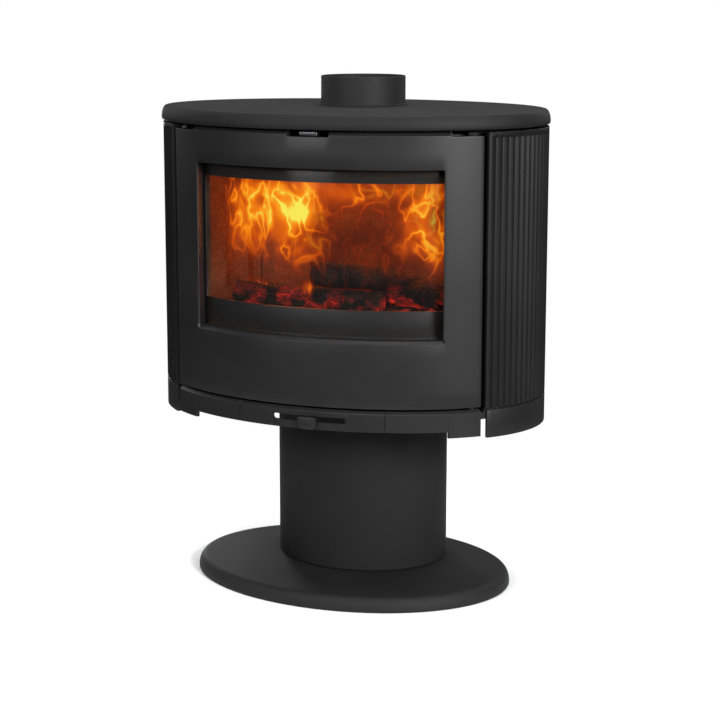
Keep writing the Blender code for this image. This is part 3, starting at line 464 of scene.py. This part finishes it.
# %% [markdown]
# ## Base, column and collar
#
# The base is a thick oval plate with a rounded upper edge, the column a short oval tube with a
# fine shadow line at its foot, and the collar a round spigot for the flue pipe. A turned profile
# makes all three: a few points are spun round a full circle, and for the base and the column the
# circle is then stretched to an oval. The spin works on a circle of radius one, so the distance
# inside that circle can become the inset from the real edge, and the rounded rim keeps its width
# all the way round.


# %% Turned pieces
ROUND = 192  # steps of a full turn


def spun(profile, count=ROUND, closed=False):
    """Spins (radius, height) points round Z."""
    bm = bmesh.new()
    verts = [bm.verts.new((radius, 0, z)) for radius, z in profile]
    edges = [bm.edges.new(pair) for pair in zip(verts, verts[1:])]
    if closed:
        edges.append(bm.edges.new((verts[-1], verts[0])))
    bmesh.ops.spin(bm, geom=verts + edges, cent=(0, 0, 0), axis=(0, 0, 1), angle=2 * math.pi,
                   steps=count, use_merge=True)
    bmesh.ops.remove_doubles(bm, verts=bm.verts, dist=TINY)
    return bm


def stretch(bm, half_x, half_y, centre_y=0.0):
    """Circle of radius one to oval: what the radius lacks of one becomes an inset in metres."""
    for vert in bm.verts:
        radius = math.hypot(vert.co.x, vert.co.y)
        if radius > 1e-9:
            inset = 1 - radius
            vert.co.x *= (half_x - inset) / radius
            vert.co.y = vert.co.y * (half_y - inset) / radius + centre_y
    bmesh.ops.recalc_face_normals(bm, faces=bm.faces)


def lid(bm, z):
    """Closes the open loop at a height with one flat face."""
    bmesh.ops.holes_fill(bm, edges=[e for e in bm.edges if e.is_boundary and level_at(e, z)])


def rounded(inset, z_from, z_to, steps):
    """Quarter of an ellipse, as (inset, height), from an edge's side to its flat top."""
    return [(inset - inset * math.cos(t), z_from + (z_to - z_from) * math.sin(t))
            for t in (math.pi / 2 * k / steps for k in range(steps + 1))]


# %% Base plate
BASE_EDGE, EDGE_FOOT = 0.014, 0.005  # width of the rounding, and the height at which it starts
FLAT_START = 0.002                   # the first ring of the flat top, inside the rounding
low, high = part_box("base_plate")
rim_points = [(0.05, 0), (0.003, 0), (0.001, 0.0008), (0.0, 0.003)]
rim_points += rounded(BASE_EDGE, EDGE_FOOT, high.z, 9)
rim_points += [(BASE_EDGE + FLAT_START, high.z), (0.05, high.z)]
base = spun([(1 - inset, z) for inset, z in rim_points])
lid(base, 0)
lid(base, high.z)
stretch(base, high.x, high.y)
piece("base_casting", base, cast_paint, "stove", "matte_black", "base_plate", smooth=50)

# %% Column
COLUMN_WALL, SHADOW_LINE = 0.004, 0.0025
low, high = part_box("column")
tube = spun([(1, low.z + SHADOW_LINE), (1, high.z), (1 - COLUMN_WALL, high.z),
             (1 - COLUMN_WALL, low.z), (1 - SHADOW_LINE, low.z)], 160, closed=True)
stretch(tube, high.x, (high.y - low.y) / 2, (low.y + high.y) / 2)
piece("column_tube", tube, dull_paint, "stove", "matte_black", "column")

# %% Flue collar and its bead
COLLAR_RADIUS, COLLAR_WALL, COLLAR_FLANGE = 0.075, 0.004, 0.003
GAP = 0.0003  # between faces that touch on the real stove


def flue_ring(name, node, profile):
    """Spins a closed profile of real radii round the flue's own axis."""
    low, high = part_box(node)
    ring = spun(profile, 96, closed=True)
    bmesh.ops.translate(ring, verts=ring.verts, vec=(0, (low.y + high.y) / 2, 0))
    bmesh.ops.recalc_face_normals(ring, faces=ring.faces)
    piece(name, ring, cast_paint, "stove", "matte_black", node)


low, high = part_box("flue_collar")
inner, outer = COLLAR_RADIUS - COLLAR_WALL, COLLAR_RADIUS
flue_ring("flue_spigot", "flue_collar", [
    (inner, low.z), (inner, high.z - 0.001), (inner + 0.001, high.z), (outer - 0.0015, high.z),
    (outer - 0.0004, high.z - 0.0006), (outer, high.z - 0.002), (outer, low.z + COLLAR_FLANGE),
    (high.x, low.z + COLLAR_FLANGE), (high.x, low.z)])
low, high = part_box("collar_ring")
flue_ring("spigot_bead", "collar_ring", [
    (outer + GAP, low.z), (outer + GAP, high.z), (high.x - 0.0015, high.z), (high.x, high.z - 0.0012),
    (high.x, low.z)])

# %% [markdown]
# ## Top plate
#
# A thick casting whose edge swells outwards from the flat top and then tucks under. The rim is
# turned like the base. Its flat faces run inwards to the round flue hole, and bridging the
# oval loop to a circle of as many points makes them without drawing a single face by hand.

# %% Top plate
TOP_EDGE, TOP_LIP = 0.009, 0.0042  # width of the rounding, and its start above the underside
HOLE_PLAY = 0.0005                 # between the flue hole and the collar
low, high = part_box("top_plate")
lip = low.z + TOP_LIP
rim_points = [(0.03, low.z), (0.0035, low.z), (0.0012, low.z + 0.0012), (0.0, lip)]
rim_points += rounded(TOP_EDGE, lip, high.z, 8)[1:]
rim_points += [(TOP_EDGE + FLAT_START, high.z), (0.03, high.z)]
top = spun([(1 - inset, z) for inset, z in rim_points])
stretch(top, high.x, high.y)
collar_y = (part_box("flue_collar")[0].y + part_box("flue_collar")[1].y) / 2
for z in (low.z, high.z):
    bmesh.ops.create_circle(top, segments=ROUND, radius=COLLAR_RADIUS + HOLE_PLAY,
                            matrix=Matrix.Translation((0, collar_y, z)))
    loops = [e for e in top.edges if e.is_boundary or e.is_wire]
    bmesh.ops.bridge_loops(top, edges=[e for e in loops if level_at(e, z)])
bmesh.ops.bridge_loops(top, edges=[e for e in top.edges if e.is_boundary])
bmesh.ops.recalc_face_normals(top, faces=top.faces)
piece("top_casting", top, cast_paint, "stove", "cast_black", "top_plate", smooth=50)

# %% [markdown]
# ## Fluted side panels
#
# Each side is a casting with upright ribs. They could be modelled one by one, but they are so
# regular that pushing the flat sheet in and out is simpler: the grid gets eight lines to a flute,
# and the outer face is hollowed along an arc in each, so that two arcs meet in a narrow rib. The
# flutes have rounded upper ends below a plain band, and a plain strip stays beside the door.

# %% Side panels
FLUTE_PITCH, FLUTE_DEPTH, FLUTE_LINES = 0.0125, 0.0035, 8
PLAIN_STRIP, PLAIN_BAND = 0.0085, 0.006
FLUTE_END, FLUTE_FADE = 0.0045, 0.0035  # height of the rounded ends, and of the fade under them
PANEL_THICKNESS, PANEL_BACK_DEGREES, DOOR_GAP = 0.012, 126, 0.0072
low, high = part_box("side_panel_right")
door_edge_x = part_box("door_frame")[1].x
panel_start = reach_of_x(door_edge_x + DOOR_GAP)
panel_end = reach_at(PANEL_BACK_DEGREES)
first_flute = panel_start + PLAIN_STRIP
flutes = int((panel_end - first_flute - PLAIN_STRIP) / FLUTE_PITCH)
flute_top = high.z - PLAIN_BAND


def groove(reach, z):
    """Depth of the flutes: hollow arcs that meet in narrow ribs, with rounded upper ends."""
    along = (abs(reach) - first_flute) / FLUTE_PITCH
    if not 0 < along < flutes:
        return 0.0
    valley = abs(math.sin(math.pi * along))
    end = flute_top - FLUTE_END * (1 - math.sqrt(max(0.0, 1 - (2 * (along % 1) - 1) ** 2)))
    fade = min(1.0, max(0.0, (end - z) / FLUTE_FADE))
    return FLUTE_DEPTH * valley * fade * (2 - fade)


for side, sign in (("right", 1), ("left", -1)):
    marks = [first_flute + FLUTE_PITCH * k / FLUTE_LINES for k in range(FLUTE_LINES * flutes + 1)]
    columns = between(panel_start, panel_end, 0.004, *marks)
    if sign < 0:
        columns = [-c for c in reversed(columns)]
    rows = [low.z, low.z + 0.002, (low.z + high.z) / 2] + between(high.z - 0.018, high.z, 0.0012)
    panel = flat_sheet(columns, rows)
    thicken(panel, PANEL_THICKNESS)
    soften(panel, 0.0012)
    for vert in panel.verts:
        if vert.co.y < 0.0015:
            vert.co.y += groove(vert.co.x, vert.co.z)
    roll(panel)
    # The fluted panels get the darker rib paint, which paints in their shade.
    piece(f"fluted_panel_{side}", panel, shaded_rib_paint, "stove", "cast_black", f"side_panel_{side}", smooth=50)

# %% [markdown]
# ## Skirts
#
# A low band runs round the foot of the body. Its middle piece has a rounded slot for the air
# tab, the pieces beside it end in small feet, and a slanted edge under the door leads the eye
# into the joint.


# %% Skirts
SKIRT_THICKNESS, SLANT = 0.0055, 0.0055
SEAM_X, FOOT_X = 0.129, 0.2275       # joint beside the middle piece, and inner edge of a foot
SEAM_GAP, SIDE_GAP = 0.0013, 0.0025  # width of the joints, in front and beside the door
SLOT_HALF, SLOT_Z, SLOT_ROUND = 0.065, (0.334, 0.344), 0.0048
REAR_GAP = 0.0005


def front_edge_at(z):
    """Picks the sharp edges of the front face that run level at a height."""
    return lambda e: creased(e) and level_at(e, z) and all(v.co.y < TINY for v in e.verts)


def slot_corner(edge):
    """Picks the four short edges that run through the skirt at the slot's corners."""
    first, second = (v.co for v in edge.verts)
    through = abs(first.x - second.x) < TINY and abs(first.z - second.z) < TINY
    return (through and abs(abs(first.x) - SLOT_HALF) < 10 * TINY
            and min(abs(first.z - z) for z in SLOT_Z) < 10 * TINY and creased(edge, 0.3))


def skirt(node, start, end, slant=0.0, opening=None, marks=(), row_marks=()):
    """One length of the band, still flat, with its opening cut and its top edge slanted."""
    low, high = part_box(node)
    band = flat_sheet(between(start, end, 0.006, *marks), between(low.z, high.z, 0.05, *row_marks))
    if opening:
        punch(band, opening)
    thicken(band, SKIRT_THICKNESS)
    if slant:
        soften(band, slant, 1, front_edge_at(high.z))
    return band


def finish_skirt(name, band, node):
    soften(band, 0.0006)
    roll(band)
    piece(name, band, sheet_paint, "stove", "matte_black", node)


seam = reach_of_x(SEAM_X)
band = skirt("skirt_centre", -seam, seam, SLANT,
             lambda x, z: abs(x) < SLOT_HALF and SLOT_Z[0] < z < SLOT_Z[1],
             (-SLOT_HALF, SLOT_HALF), SLOT_Z)
soften(band, SLOT_ROUND, 6, slot_corner)
finish_skirt("front_skirt_centre", band, "skirt_centre")

skirt_end = reach_of_x(door_edge_x)
foot = reach_of_x(FOOT_X)
body_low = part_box("skirt_centre")[0].z
for side, sign in (("right", 1), ("left", -1)):
    start, end = sorted((sign * (seam + SEAM_GAP), sign * skirt_end))
    band = skirt(f"skirt_front_{side}", start, end, SLANT,
                 lambda x, z: abs(x) < foot and z < body_low, (sign * foot,), (body_low,))
    finish_skirt(f"front_skirt_{side}", band, f"skirt_front_{side}")
    start, end = sorted((sign * (panel_start + SIDE_GAP), sign * (panel_end - REAR_GAP)))
    finish_skirt(f"side_skirt_{side}", skirt(f"skirt_side_{side}", start, end), f"skirt_side_{side}")


# %% Rear skirt and rear shield
def half_turn(bm):
    """What was rolled round the front goes to the rear, as the oval is the same there."""
    bmesh.ops.rotate(bm, verts=bm.verts, cent=(0, 0, 0), matrix=Matrix.Rotation(math.pi, 3, "Z"))


def rear_band(name, node, thickness, depth, gap):
    low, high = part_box(node)
    half = walked[-1] - panel_end - gap
    band = rolled_sheet(between(-half, half, 0.008), between(low.z, high.z, 0.2), thickness, 0.0005, depth)
    half_turn(band)
    piece(name, band, sheet_paint, "stove", "matte_black", node)


rear_band("rear_skirt_band", "skirt_rear", SKIRT_THICKNESS, 0.0, REAR_GAP)
rear_band("rear_shield_sheet", "rear_shield", 0.002, 0.010, 0.0015)

# %% [markdown]
# ## Door
#
# The door is one curved plate with a large window. Three notches in its top edge clear the
# hinge, the latch and the air knob, and slanted edges along the top and the window sill catch
# the light. Cutting the window and the notches from the flat sheet comes first, because the
# thickness and the bevels then follow every opening by themselves. The window's side walls stay
# straight from front to back, so that part is rolled with its x kept.

# %% Door plate
DOOR_THICKNESS, TOP_SLANT, SILL_SLANT = 0.022, 0.0055, 0.005
NOTCH_HALF, NOTCH_DEPTH, CORNER_NOTCH_DEPTH = 0.036, 0.0085, 0.0065
low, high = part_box("door_frame")
door_reach, window_reach = reach_of_x(door_edge_x), reach_of_x(WINDOW_HALF)
notch_reach, corner_reach = reach_of_x(NOTCH_HALF), reach_of_x(FOOT_X)
notch_z, corner_z = high.z - NOTCH_DEPTH, high.z - CORNER_NOTCH_DEPTH
columns = between(-door_reach, door_reach, 0.006, -window_reach, window_reach, -notch_reach, notch_reach,
                  -corner_reach, corner_reach)
rows = between(low.z, high.z, 0.03, window_low, window_high, notch_z, corner_z)
door = flat_sheet(columns, rows)
punch(door, lambda x, z: abs(x) < window_reach and window_low < z < window_high)
punch(door, lambda x, z: abs(x) < notch_reach and z > notch_z)
punch(door, lambda x, z: abs(x) > corner_reach and z > corner_z)
thicken(door, DOOR_THICKNESS)
soften(door, TOP_SLANT, 1, front_edge_at(high.z))
soften(door, SILL_SLANT, 1, lambda e: front_edge_at(window_low)(e)
       and abs(e.verts[0].co.x) < window_reach + TINY)
soften(door, 0.0022, 3, lambda e: creased(e) and all(
    v.co.y < TINY and abs(abs(v.co.x) - window_reach) < TINY for v in e.verts))
soften(door, 0.0009)
roll(door, straight=window_reach + 0.006)
piece("door_plate", door, sheet_paint, "door", "matte_black", "door_frame", smooth=35)


# %% Pane and its retainers
def curved_bar(name, node, finish, slot, depth, thickness):
    """A plain curved bar in place of a node, as wide and high as the node's own box."""
    low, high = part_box(node)
    half = reach_of_x(high.x, depth)
    bar = rolled_sheet(between(-half, half, 0.006), [low.z, high.z], thickness, 0.0004, depth)
    piece(name, bar, finish, "door", slot, node)


curved_bar("door_pane", "door_glass", glass, "glass", DOOR_THICKNESS + GAP, 0.004)
for place in ("bottom", "top"):
    curved_bar(f"pane_retainer_{place}", f"glass_retainer_{place}", sheet_paint, "matte_black",
               0.0266, 0.002)

# %% [markdown]
# ## Rope seal
#
# A braided rope of glass fibre is pressed against the back of the door, in one ring round both
# openings. A curve with a round bevel is the quickest tube for such a path.


# %% Rope seal
ROPE_DEGREES, ROPE_DEPTH, ROPE_INSET = 47.4, 0.0283, 0.005
ROPE_RADIUS, ROPE_CORNER, ROPE_STEP = 0.0052, 0.02, 0.012


def rope_path():
    """Points of a rectangle with rounded corners, laid on the oval."""
    low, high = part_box("door_seal")
    half = reach_at(ROPE_DEGREES)
    levels = {-1: low.z + ROPE_INSET, 1: high.z - ROPE_INSET}
    path = []
    for x_side, z_side, first in ((1, -1, -90), (1, 1, 0), (-1, 1, 90), (-1, -1, 180)):
        x, z = x_side * (half - ROPE_CORNER), levels[z_side] - z_side * ROPE_CORNER
        path += [(x + ROPE_CORNER * math.cos(math.radians(first + 15 * k)),
                  z + ROPE_CORNER * math.sin(math.radians(first + 15 * k))) for k in range(7)]
    points = []
    for (x0, z0), (x1, z1) in zip(path, path[1:] + path[:1]):
        count = max(1, round(math.hypot(x1 - x0, z1 - z0) / ROPE_STEP))
        points += [on_oval(x0 + (x1 - x0) * k / count, ROPE_DEPTH, z0 + (z1 - z0) * k / count)
                   for k in range(count)]
    return points


points = rope_path()
curve = bpy.data.curves.new("rope", "CURVE")
curve.dimensions, curve.bevel_depth, curve.bevel_resolution = "3D", ROPE_RADIUS, 4
spline = curve.splines.new("POLY")
spline.points.add(len(points) - 1)
for point, place in zip(spline.points, points):
    point.co = (*place, 1)
spline.use_cyclic_u = True
holder = bpy.data.objects.new("rope", curve)
bpy.context.scene.collection.objects.link(holder)
bpy.context.view_layer.update()
tube_mesh = bpy.data.meshes.new_from_object(holder)
seal = bmesh.new()
seal.from_mesh(tube_mesh)
bpy.data.objects.remove(holder)
bpy.data.meshes.remove(tube_mesh)
piece("rope_seal", seal, rope, "door", "rope", "door_seal", smooth=180)

# %% [markdown]
# ## Firebox front and lining
#
# Behind the pane stands the firebox front, a curved plate with the fire opening above and the
# ash opening below. Boards of pressed vermiculite line the chamber. Both are rolled sheets.

# %% Firebox front
FRAME_INSET, FRAME_PLATE, FRAME_DEGREES = 0.034, 0.006, 52.5
FIRE_HALF, FIRE_Z = 0.224, (0.519, 0.7305)
ASH_HALF, ASH_Z = 0.160, (0.3785, 0.4555)
low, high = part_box("front_frame")
front_end = reach_at(FRAME_DEGREES)
fire_reach, ash_reach = reach_of_x(FIRE_HALF, FRAME_INSET), reach_of_x(ASH_HALF, FRAME_INSET)
front = rolled_sheet(
    between(-front_end, front_end, 0.006, -fire_reach, fire_reach, -ash_reach, ash_reach),
    between(low.z, high.z, 0.03, *FIRE_Z, *ASH_Z), FRAME_PLATE, 0.0008, FRAME_INSET,
    lambda x, z: abs(x) < fire_reach and FIRE_Z[0] < z < FIRE_Z[1],
    lambda x, z: abs(x) < ash_reach and ASH_Z[0] < z < ASH_Z[1])
piece("firebox_front", front, sheet_paint, "stove", "matte_black", "front_frame")


# %% Lining boards
def lining(place, start, end):
    """A board from one angle to another, against the inside of the firebox wall."""
    low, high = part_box(f"liner_{place}")
    board = rolled_sheet(between(reach_at(start), reach_at(end), 0.008), between(low.z, high.z, 0.05),
                         0.025, 0.0025, FRAME_INSET + FRAME_PLATE + GAP)
    if place == "back":
        half_turn(board)
    piece(f"lining_{place}", board, brick, "stove", "firebrick", f"liner_{place}")


lining("right", 55, 130)
lining("left", -130, -55)
lining("back", -49.7, 49.7)

# %% [markdown]
# ## The fire
#
# Three charred logs lie on a bed of ash and embers. A log is a tube whose rings are pushed in
# and out by noise, with one side flattened as if it was split. Flames have no surface, so they
# are modelled as sheets of light: a curved sheet carries how strong the fire is at each point,
# and its material turns that strength and a warped noise into bright threads. Where the fire is
# weak the sheet is see-through, so only the threads are seen. Warm lights inside the chamber do
# for the lining what the flames would.


# %% Finishes of the fire
def charred_wood():
    """Black scaled char with ember light in its cracks, more of it low down."""
    g = Graph("charred_log", Metallic=0.0, Roughness=0.85, Specular_IOR_Level=0.08)
    place = g.mapped(g.place, Scale=(0.6, 1, 1))
    cells = g.add("TexVoronoi", {"Vector": place, "Scale": 75.0}, feature="DISTANCE_TO_EDGE")
    scales = cells.outputs["Distance"]
    cracks = g.span(scales, 0.06, 0.0)
    height = g.add("SeparateXYZ", {"Vector": g.place}).outputs["Z"]
    glow = g.math("MULTIPLY", g.span(height, 0.545, 0.500), g.span(g.noise(24.0, 3.0), 0.50, 0.68))
    ember = g.math("MULTIPLY", glow, g.math("ADD", g.math("MULTIPLY", cracks, 0.8), 0.25))
    black = g.ramp(g.noise(40.0, 5.0), (0.3, (0.004, 0.0035, 0.003)), (0.8, (0.022, 0.015, 0.010)))
    red = g.ramp(ember, (0.0, (0, 0, 0)), (0.35, (0.35, 0.01, 0.004)), (0.8, (1.0, 0.10, 0.01)),
                 (1.0, (1.0, 0.35, 0.05)))
    g.set(g.shader, {"Base Color": black, "Emission Color": red, "Emission Strength": 1.6})
    g.bump(g.math("MINIMUM", scales, 0.12), 0.9, 0.02)
    return g.material


def ember_bed():
    """Dark ash in lumps, with red patches on their crowns."""
    g = Graph("ash_and_embers", Metallic=0.0, Roughness=0.95, Specular_IOR_Level=0.08)
    lumps = g.add("TexVoronoi", {"Vector": g.place, "Scale": 65.0}).outputs["Distance"]
    hot = g.math("MULTIPLY", g.span(g.noise(16.0, 4.0), 0.50, 0.70), g.span(lumps, 0.55, 0.15))
    ash = g.ramp(g.noise(70.0, 4.0), (0.3, (0.006, 0.005, 0.0045)), (0.8, (0.035, 0.030, 0.026)))
    red = g.ramp(hot, (0.0, (0, 0, 0)), (0.4, (0.30, 0.008, 0.006)), (1.0, (1.0, 0.16, 0.03)))
    g.set(g.shader, {"Base Color": ash, "Emission Color": red, "Emission Strength": 1.8})
    g.bump(lumps, 0.8, 0.01)
    return g.material


def flame_light(name, shift, strength):
    """Bright wandering threads over a soft glow, both scaled by the sheet's own fire level."""
    g = Graph(name, Roughness=1.0)
    place = g.mapped(g.place, Location=shift)
    warp = g.add("TexNoise", {"Vector": place, "Scale": 9.0, "Detail": 2.0}).outputs["Color"]
    bent = g.add("VectorMath", {0: warp, 1: (0.11, 0.11, 0.16)}, operation="MULTIPLY").outputs[0]
    flow = g.add("VectorMath", {0: place, 1: bent}, operation="ADD").outputs[0]
    flow = g.mapped(flow, Scale=(1.0, 1.0, 0.55))
    ripple = g.add("TexNoise", {"Vector": flow, "Scale": 26.0, "Detail": 2.5, "Roughness": 0.45}).outputs[0]
    ridge = g.math("SUBTRACT", 1.0, g.math("ABSOLUTE", g.span(ripple, 0.30, 0.70, -1.0, 1.0)))
    thread = g.math("POWER", g.math("MAXIMUM", ridge, 0.0), 5.0)
    body = g.span(g.noise(11.0, 2.0, flow), 0.35, 0.70)
    pattern = g.math("ADD", g.math("MULTIPLY", thread, 0.55), g.math("MULTIPLY", body, 0.75))
    level = g.add("Attribute", attribute_name="fire_level").outputs["Fac"]
    power = g.math("MULTIPLY", level, pattern)
    colour = g.ramp(power, (0.0, (0.10, 0.006, 0.0)), (0.10, (0.30, 0.02, 0.0)), (0.30, (0.85, 0.11, 0.0)),
                    (0.55, (1.0, 0.24, 0.004)), (0.80, (1.0, 0.46, 0.02)), (1.0, (1.0, 0.86, 0.10)))
    g.set(g.shader, {"Base Color": (0, 0, 0, 1), "Specular IOR Level": 0.0, "Emission Color": colour,
                     "Emission Strength": strength, "Alpha": g.span(power, 0.02, 0.55)})
    g.material.blend_method = "BLEND"
    return g.material


char = charred_wood()
embers = ember_bed()
flames = flame_light("flames", (0.0, 0.0, 0.0), 1.15)
far_flames = flame_light("far_flames", (3.1, 1.7, 0.4), 0.7)
print("fire finishes:", char.name, embers.name, flames.name, far_flames.name)

# %% Logs
LOG_RINGS, LOG_SIDES = 26, 36
SPLIT_AT, SPLIT_BULGE = 0.35, 0.25  # where the split face starts, and how much bulge it keeps


def log(name, middle, length, thickness, heading, tilt, roll_angle, seed):
    """A split log: a ringed tube, flattened on one side and roughened by noise."""
    bm = bmesh.new()
    bmesh.ops.create_cone(bm, cap_ends=True, segments=LOG_SIDES, radius1=thickness,
                          radius2=thickness * 0.9, depth=length)
    sides = [e for e in bm.edges if abs(e.verts[0].co.z - e.verts[1].co.z) > length * 0.9]
    bmesh.ops.subdivide_edges(bm, edges=sides, cuts=LOG_RINGS, use_grid_fill=True)
    caps = [f for f in bm.faces if len(f.verts) > 4]
    bmesh.ops.inset_region(bm, faces=caps, thickness=thickness * 0.3)
    caps = [f for f in bm.faces if len(f.verts) > 4]
    bmesh.ops.poke(bm, faces=caps)
    for vert in bm.verts:
        if vert.co.x > thickness * SPLIT_AT:
            vert.co.x = thickness * SPLIT_AT + (vert.co.x - thickness * SPLIT_AT) * SPLIT_BULGE
        where = Vector((vert.co.x * 30, vert.co.y * 30, vert.co.z * 9 + seed))
        push = 1 + 0.16 * noise.noise(where) + 0.06 * noise.noise(where * 4)
        vert.co.x *= push
        vert.co.y *= push
        vert.co.z += 0.006 * noise.noise(where * 2.5)
    lying = Matrix.Rotation(math.pi / 2 + tilt, 4, "Y")
    turn = (Matrix.Translation(middle) @ Matrix.Rotation(heading, 4, "Z") @ lying
            @ Matrix.Rotation(roll_angle, 4, "Z"))
    bmesh.ops.transform(bm, matrix=turn, verts=bm.verts)
    piece(name, bm, char, "stove", "firebrick", smooth=55)


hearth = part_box("grate")[1].z
log("log_front", (-0.050, -0.080, hearth + 0.030), 0.26, 0.023, 0.10, 0.04, 0.4, 3.0)
log("log_back", (0.085, -0.020, hearth + 0.038), 0.25, 0.032, -0.22, -0.08, 2.2, 11.0)
log("log_top", (0.050, -0.055, hearth + 0.068), 0.20, 0.022, 0.35, 0.10, 1.2, 23.0)

# %% Ember bed
BED_HALF_X, BED_HALF_Y, BED_FORWARD = 0.225, 0.125, 0.012
BED_NARROWING = 0.42  # how much shorter the rows are at the front and the back
bed = bmesh.new()
bmesh.ops.create_grid(bed, x_segments=110, y_segments=64, size=0.5)
for vert in bed.verts:
    u, v = vert.co.x * 2, vert.co.y * 2
    row_width = math.sqrt(max(0.0, 1 - BED_NARROWING * v * v))
    x, y = BED_HALF_X * u * row_width, BED_HALF_Y * v - BED_FORWARD
    edge = min(1.0, 4 * (1 - max(abs(u), abs(v))))
    lump = noise.noise(Vector((x * 45, y * 45, 0))) + 0.6 * noise.noise(Vector((x * 110, y * 110, 4)))
    vert.co = (x, y, hearth + 0.001 + edge * (0.010 + 0.007 * lump + 0.008 * (1 - v * v)))
piece("ember_bed", bed, embers, "stove", "firebrick", smooth=180)

# %% Flame sheets
BLAZES = [  # x, z, half-width, half-height and strength of each part of the fire, in metres
    (-0.061, 0.668, 0.018, 0.015, 0.80), (-0.060, 0.672, 0.045, 0.034, 0.95),
    (-0.120, 0.655, 0.060, 0.055, 0.75), (-0.165, 0.690, 0.045, 0.035, 0.55),
    (-0.060, 0.610, 0.050, 0.030, 0.60), (0.158, 0.668, 0.034, 0.050, 1.15),
    (0.175, 0.615, 0.020, 0.040, 0.70), (0.060, 0.700, 0.060, 0.030, 0.50),
    (0.000, 0.715, 0.200, 0.022, 0.45), (-0.135, 0.537, 0.032, 0.008, 0.55),
    (-0.040, 0.536, 0.007, 0.013, 0.90), (-0.200, 0.640, 0.050, 0.080, 0.28),
    (0.050, 0.600, 0.120, 0.060, 0.20)]
FLAME_LOW, FLAME_HIGH = hearth + 0.030, 0.733
FLAME_DEGREES, FLAME_COLUMNS = 100, 90


def flame_sheet(name, inset, material, share):
    """A curved sheet inside the chamber, which carries the fire's level at each point."""
    columns = [math.radians(-FLAME_DEGREES + 2 * FLAME_DEGREES * k / FLAME_COLUMNS)
               for k in range(FLAME_COLUMNS + 1)]
    sheet = flat_sheet(columns, between(FLAME_LOW, FLAME_HIGH, 0.006))
    fire_level = sheet.verts.layers.float.new("fire_level")
    for vert in sheet.verts:
        turn, z = vert.co.x, vert.co.z
        x, y = (skin_x - inset) * math.sin(turn), -(skin_y - inset) * math.cos(turn)
        level = sum(power * math.exp(-((x - cx) / rx) ** 2 - ((z - cz) / rz) ** 2)
                    for cx, cz, rx, rz, power in BLAZES)
        fade = min(1.0, (z - FLAME_LOW) / 0.03) * min(1.0, (columns[-1] - abs(turn)) / 0.15)
        vert[fire_level] = share * level * fade
        vert.co = (x, y + 0.006 * noise.noise(Vector((x * 20, z * 20, inset * 50))), z)
    piece(name, sheet, material, "stove", "firebrick", smooth=180)


flame_sheet("flames_near", 0.110, flames, 1.0)
flame_sheet("flames_far", 0.150, far_flames, 0.8)


# %% Warm light in the chamber
def glow(name, place, size, power, colour):
    light = add_light(name, "POINT", power)
    light.data.shadow_soft_size = size
    light.data.color = colour
    light.location = place


glow("glow_left", (-0.10, -0.04, 0.66), 0.05, 5.0, (1.0, 0.17, 0.02))
glow("glow_right", (0.15, -0.02, 0.66), 0.04, 3.5, (1.0, 0.19, 0.025))
glow("glow_low", (0.0, -0.06, 0.53), 0.05, 0.15, (1.0, 0.08, 0.02))

# %% [markdown]
# ## Small controls
#
# A rounded tab under the door slides the primary air, and a small steel knob in the notch above
# the door slides the air that washes the pane. Both are made from a block by bevelling some of
# its edges far and the rest a little.


# %% Tab and knob
def block(low, high):
    bm = bmesh.new()
    bmesh.ops.create_cube(bm, size=1)
    for vert in bm.verts:
        vert.co = [a + (c + 0.5) * (b - a) for a, b, c in zip(low, high, vert.co)]
    return bm


low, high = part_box("air_tab")
tab = block(low, high)
soften(tab, 0.0095, 8, lambda e: max(v.co.z for v in e.verts) < low.z + TINY
       and abs(e.verts[0].co.y - e.verts[1].co.y) > 0.001)
soften(tab, 0.0010)
piece("primary_air_tab", tab, sheet_paint, "primary_air", "matte_black", "air_tab")

low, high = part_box("airwash_knob")
knob = block(low, high)
soften(knob, 0.0030, 6, lambda e: abs(e.verts[0].co.z - e.verts[1].co.z) > 0.003)
soften(knob, 0.0012, 3)
piece("airwash_slide_knob", knob, steel, "airwash", "bare_steel", "airwash_knob")

# %% [markdown]
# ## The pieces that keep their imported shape
#
# Brackets, bolts, guides, baffles and plates inside the stove already have the right shape. They
# only need the finish of their material slot.

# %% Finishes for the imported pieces
slots = {part["node"]: part["material_slot"] for part in frame["record"]["subparts"]}
kept = [name for name, node in frame["nodes"].items() if not node.hide_render]
for name in kept:
    for material_slot in frame["nodes"][name].material_slots:
        material_slot.link = "OBJECT"
        material_slot.material = SLOT_FINISH[slots[name]]
print("packed pieces with a new finish:", len(kept))

# %% [markdown]
# ## Floor
#
# A round pale floor takes the soft shadow of the base. It fades out towards its rim, so that no
# edge shows against the white room. It belongs to the room, not to the stove.

# %% Floor
FLOOR_RADIUS, FADE_START = 1.0, 0.45
ground = bmesh.new()
bmesh.ops.create_circle(ground, cap_ends=True, segments=96, radius=FLOOR_RADIUS)
floor_mesh = bpy.data.meshes.new("floor")
ground.to_mesh(floor_mesh)
ground.free()
plain = Graph("pale_floor", Base_Color=(0.93, 0.93, 0.93, 1), Roughness=0.9)
away = plain.add("VectorMath", {0: plain.place}, operation="LENGTH").outputs["Value"]
plain.set(plain.shader, {"Alpha": plain.span(away, FADE_START, FLOOR_RADIUS - 0.02, 1.0, 0.0)})
floor_mesh.materials.append(plain.material)
floor = bpy.data.objects.new("floor", floor_mesh)
bpy.context.scene.collection.objects.link(floor)
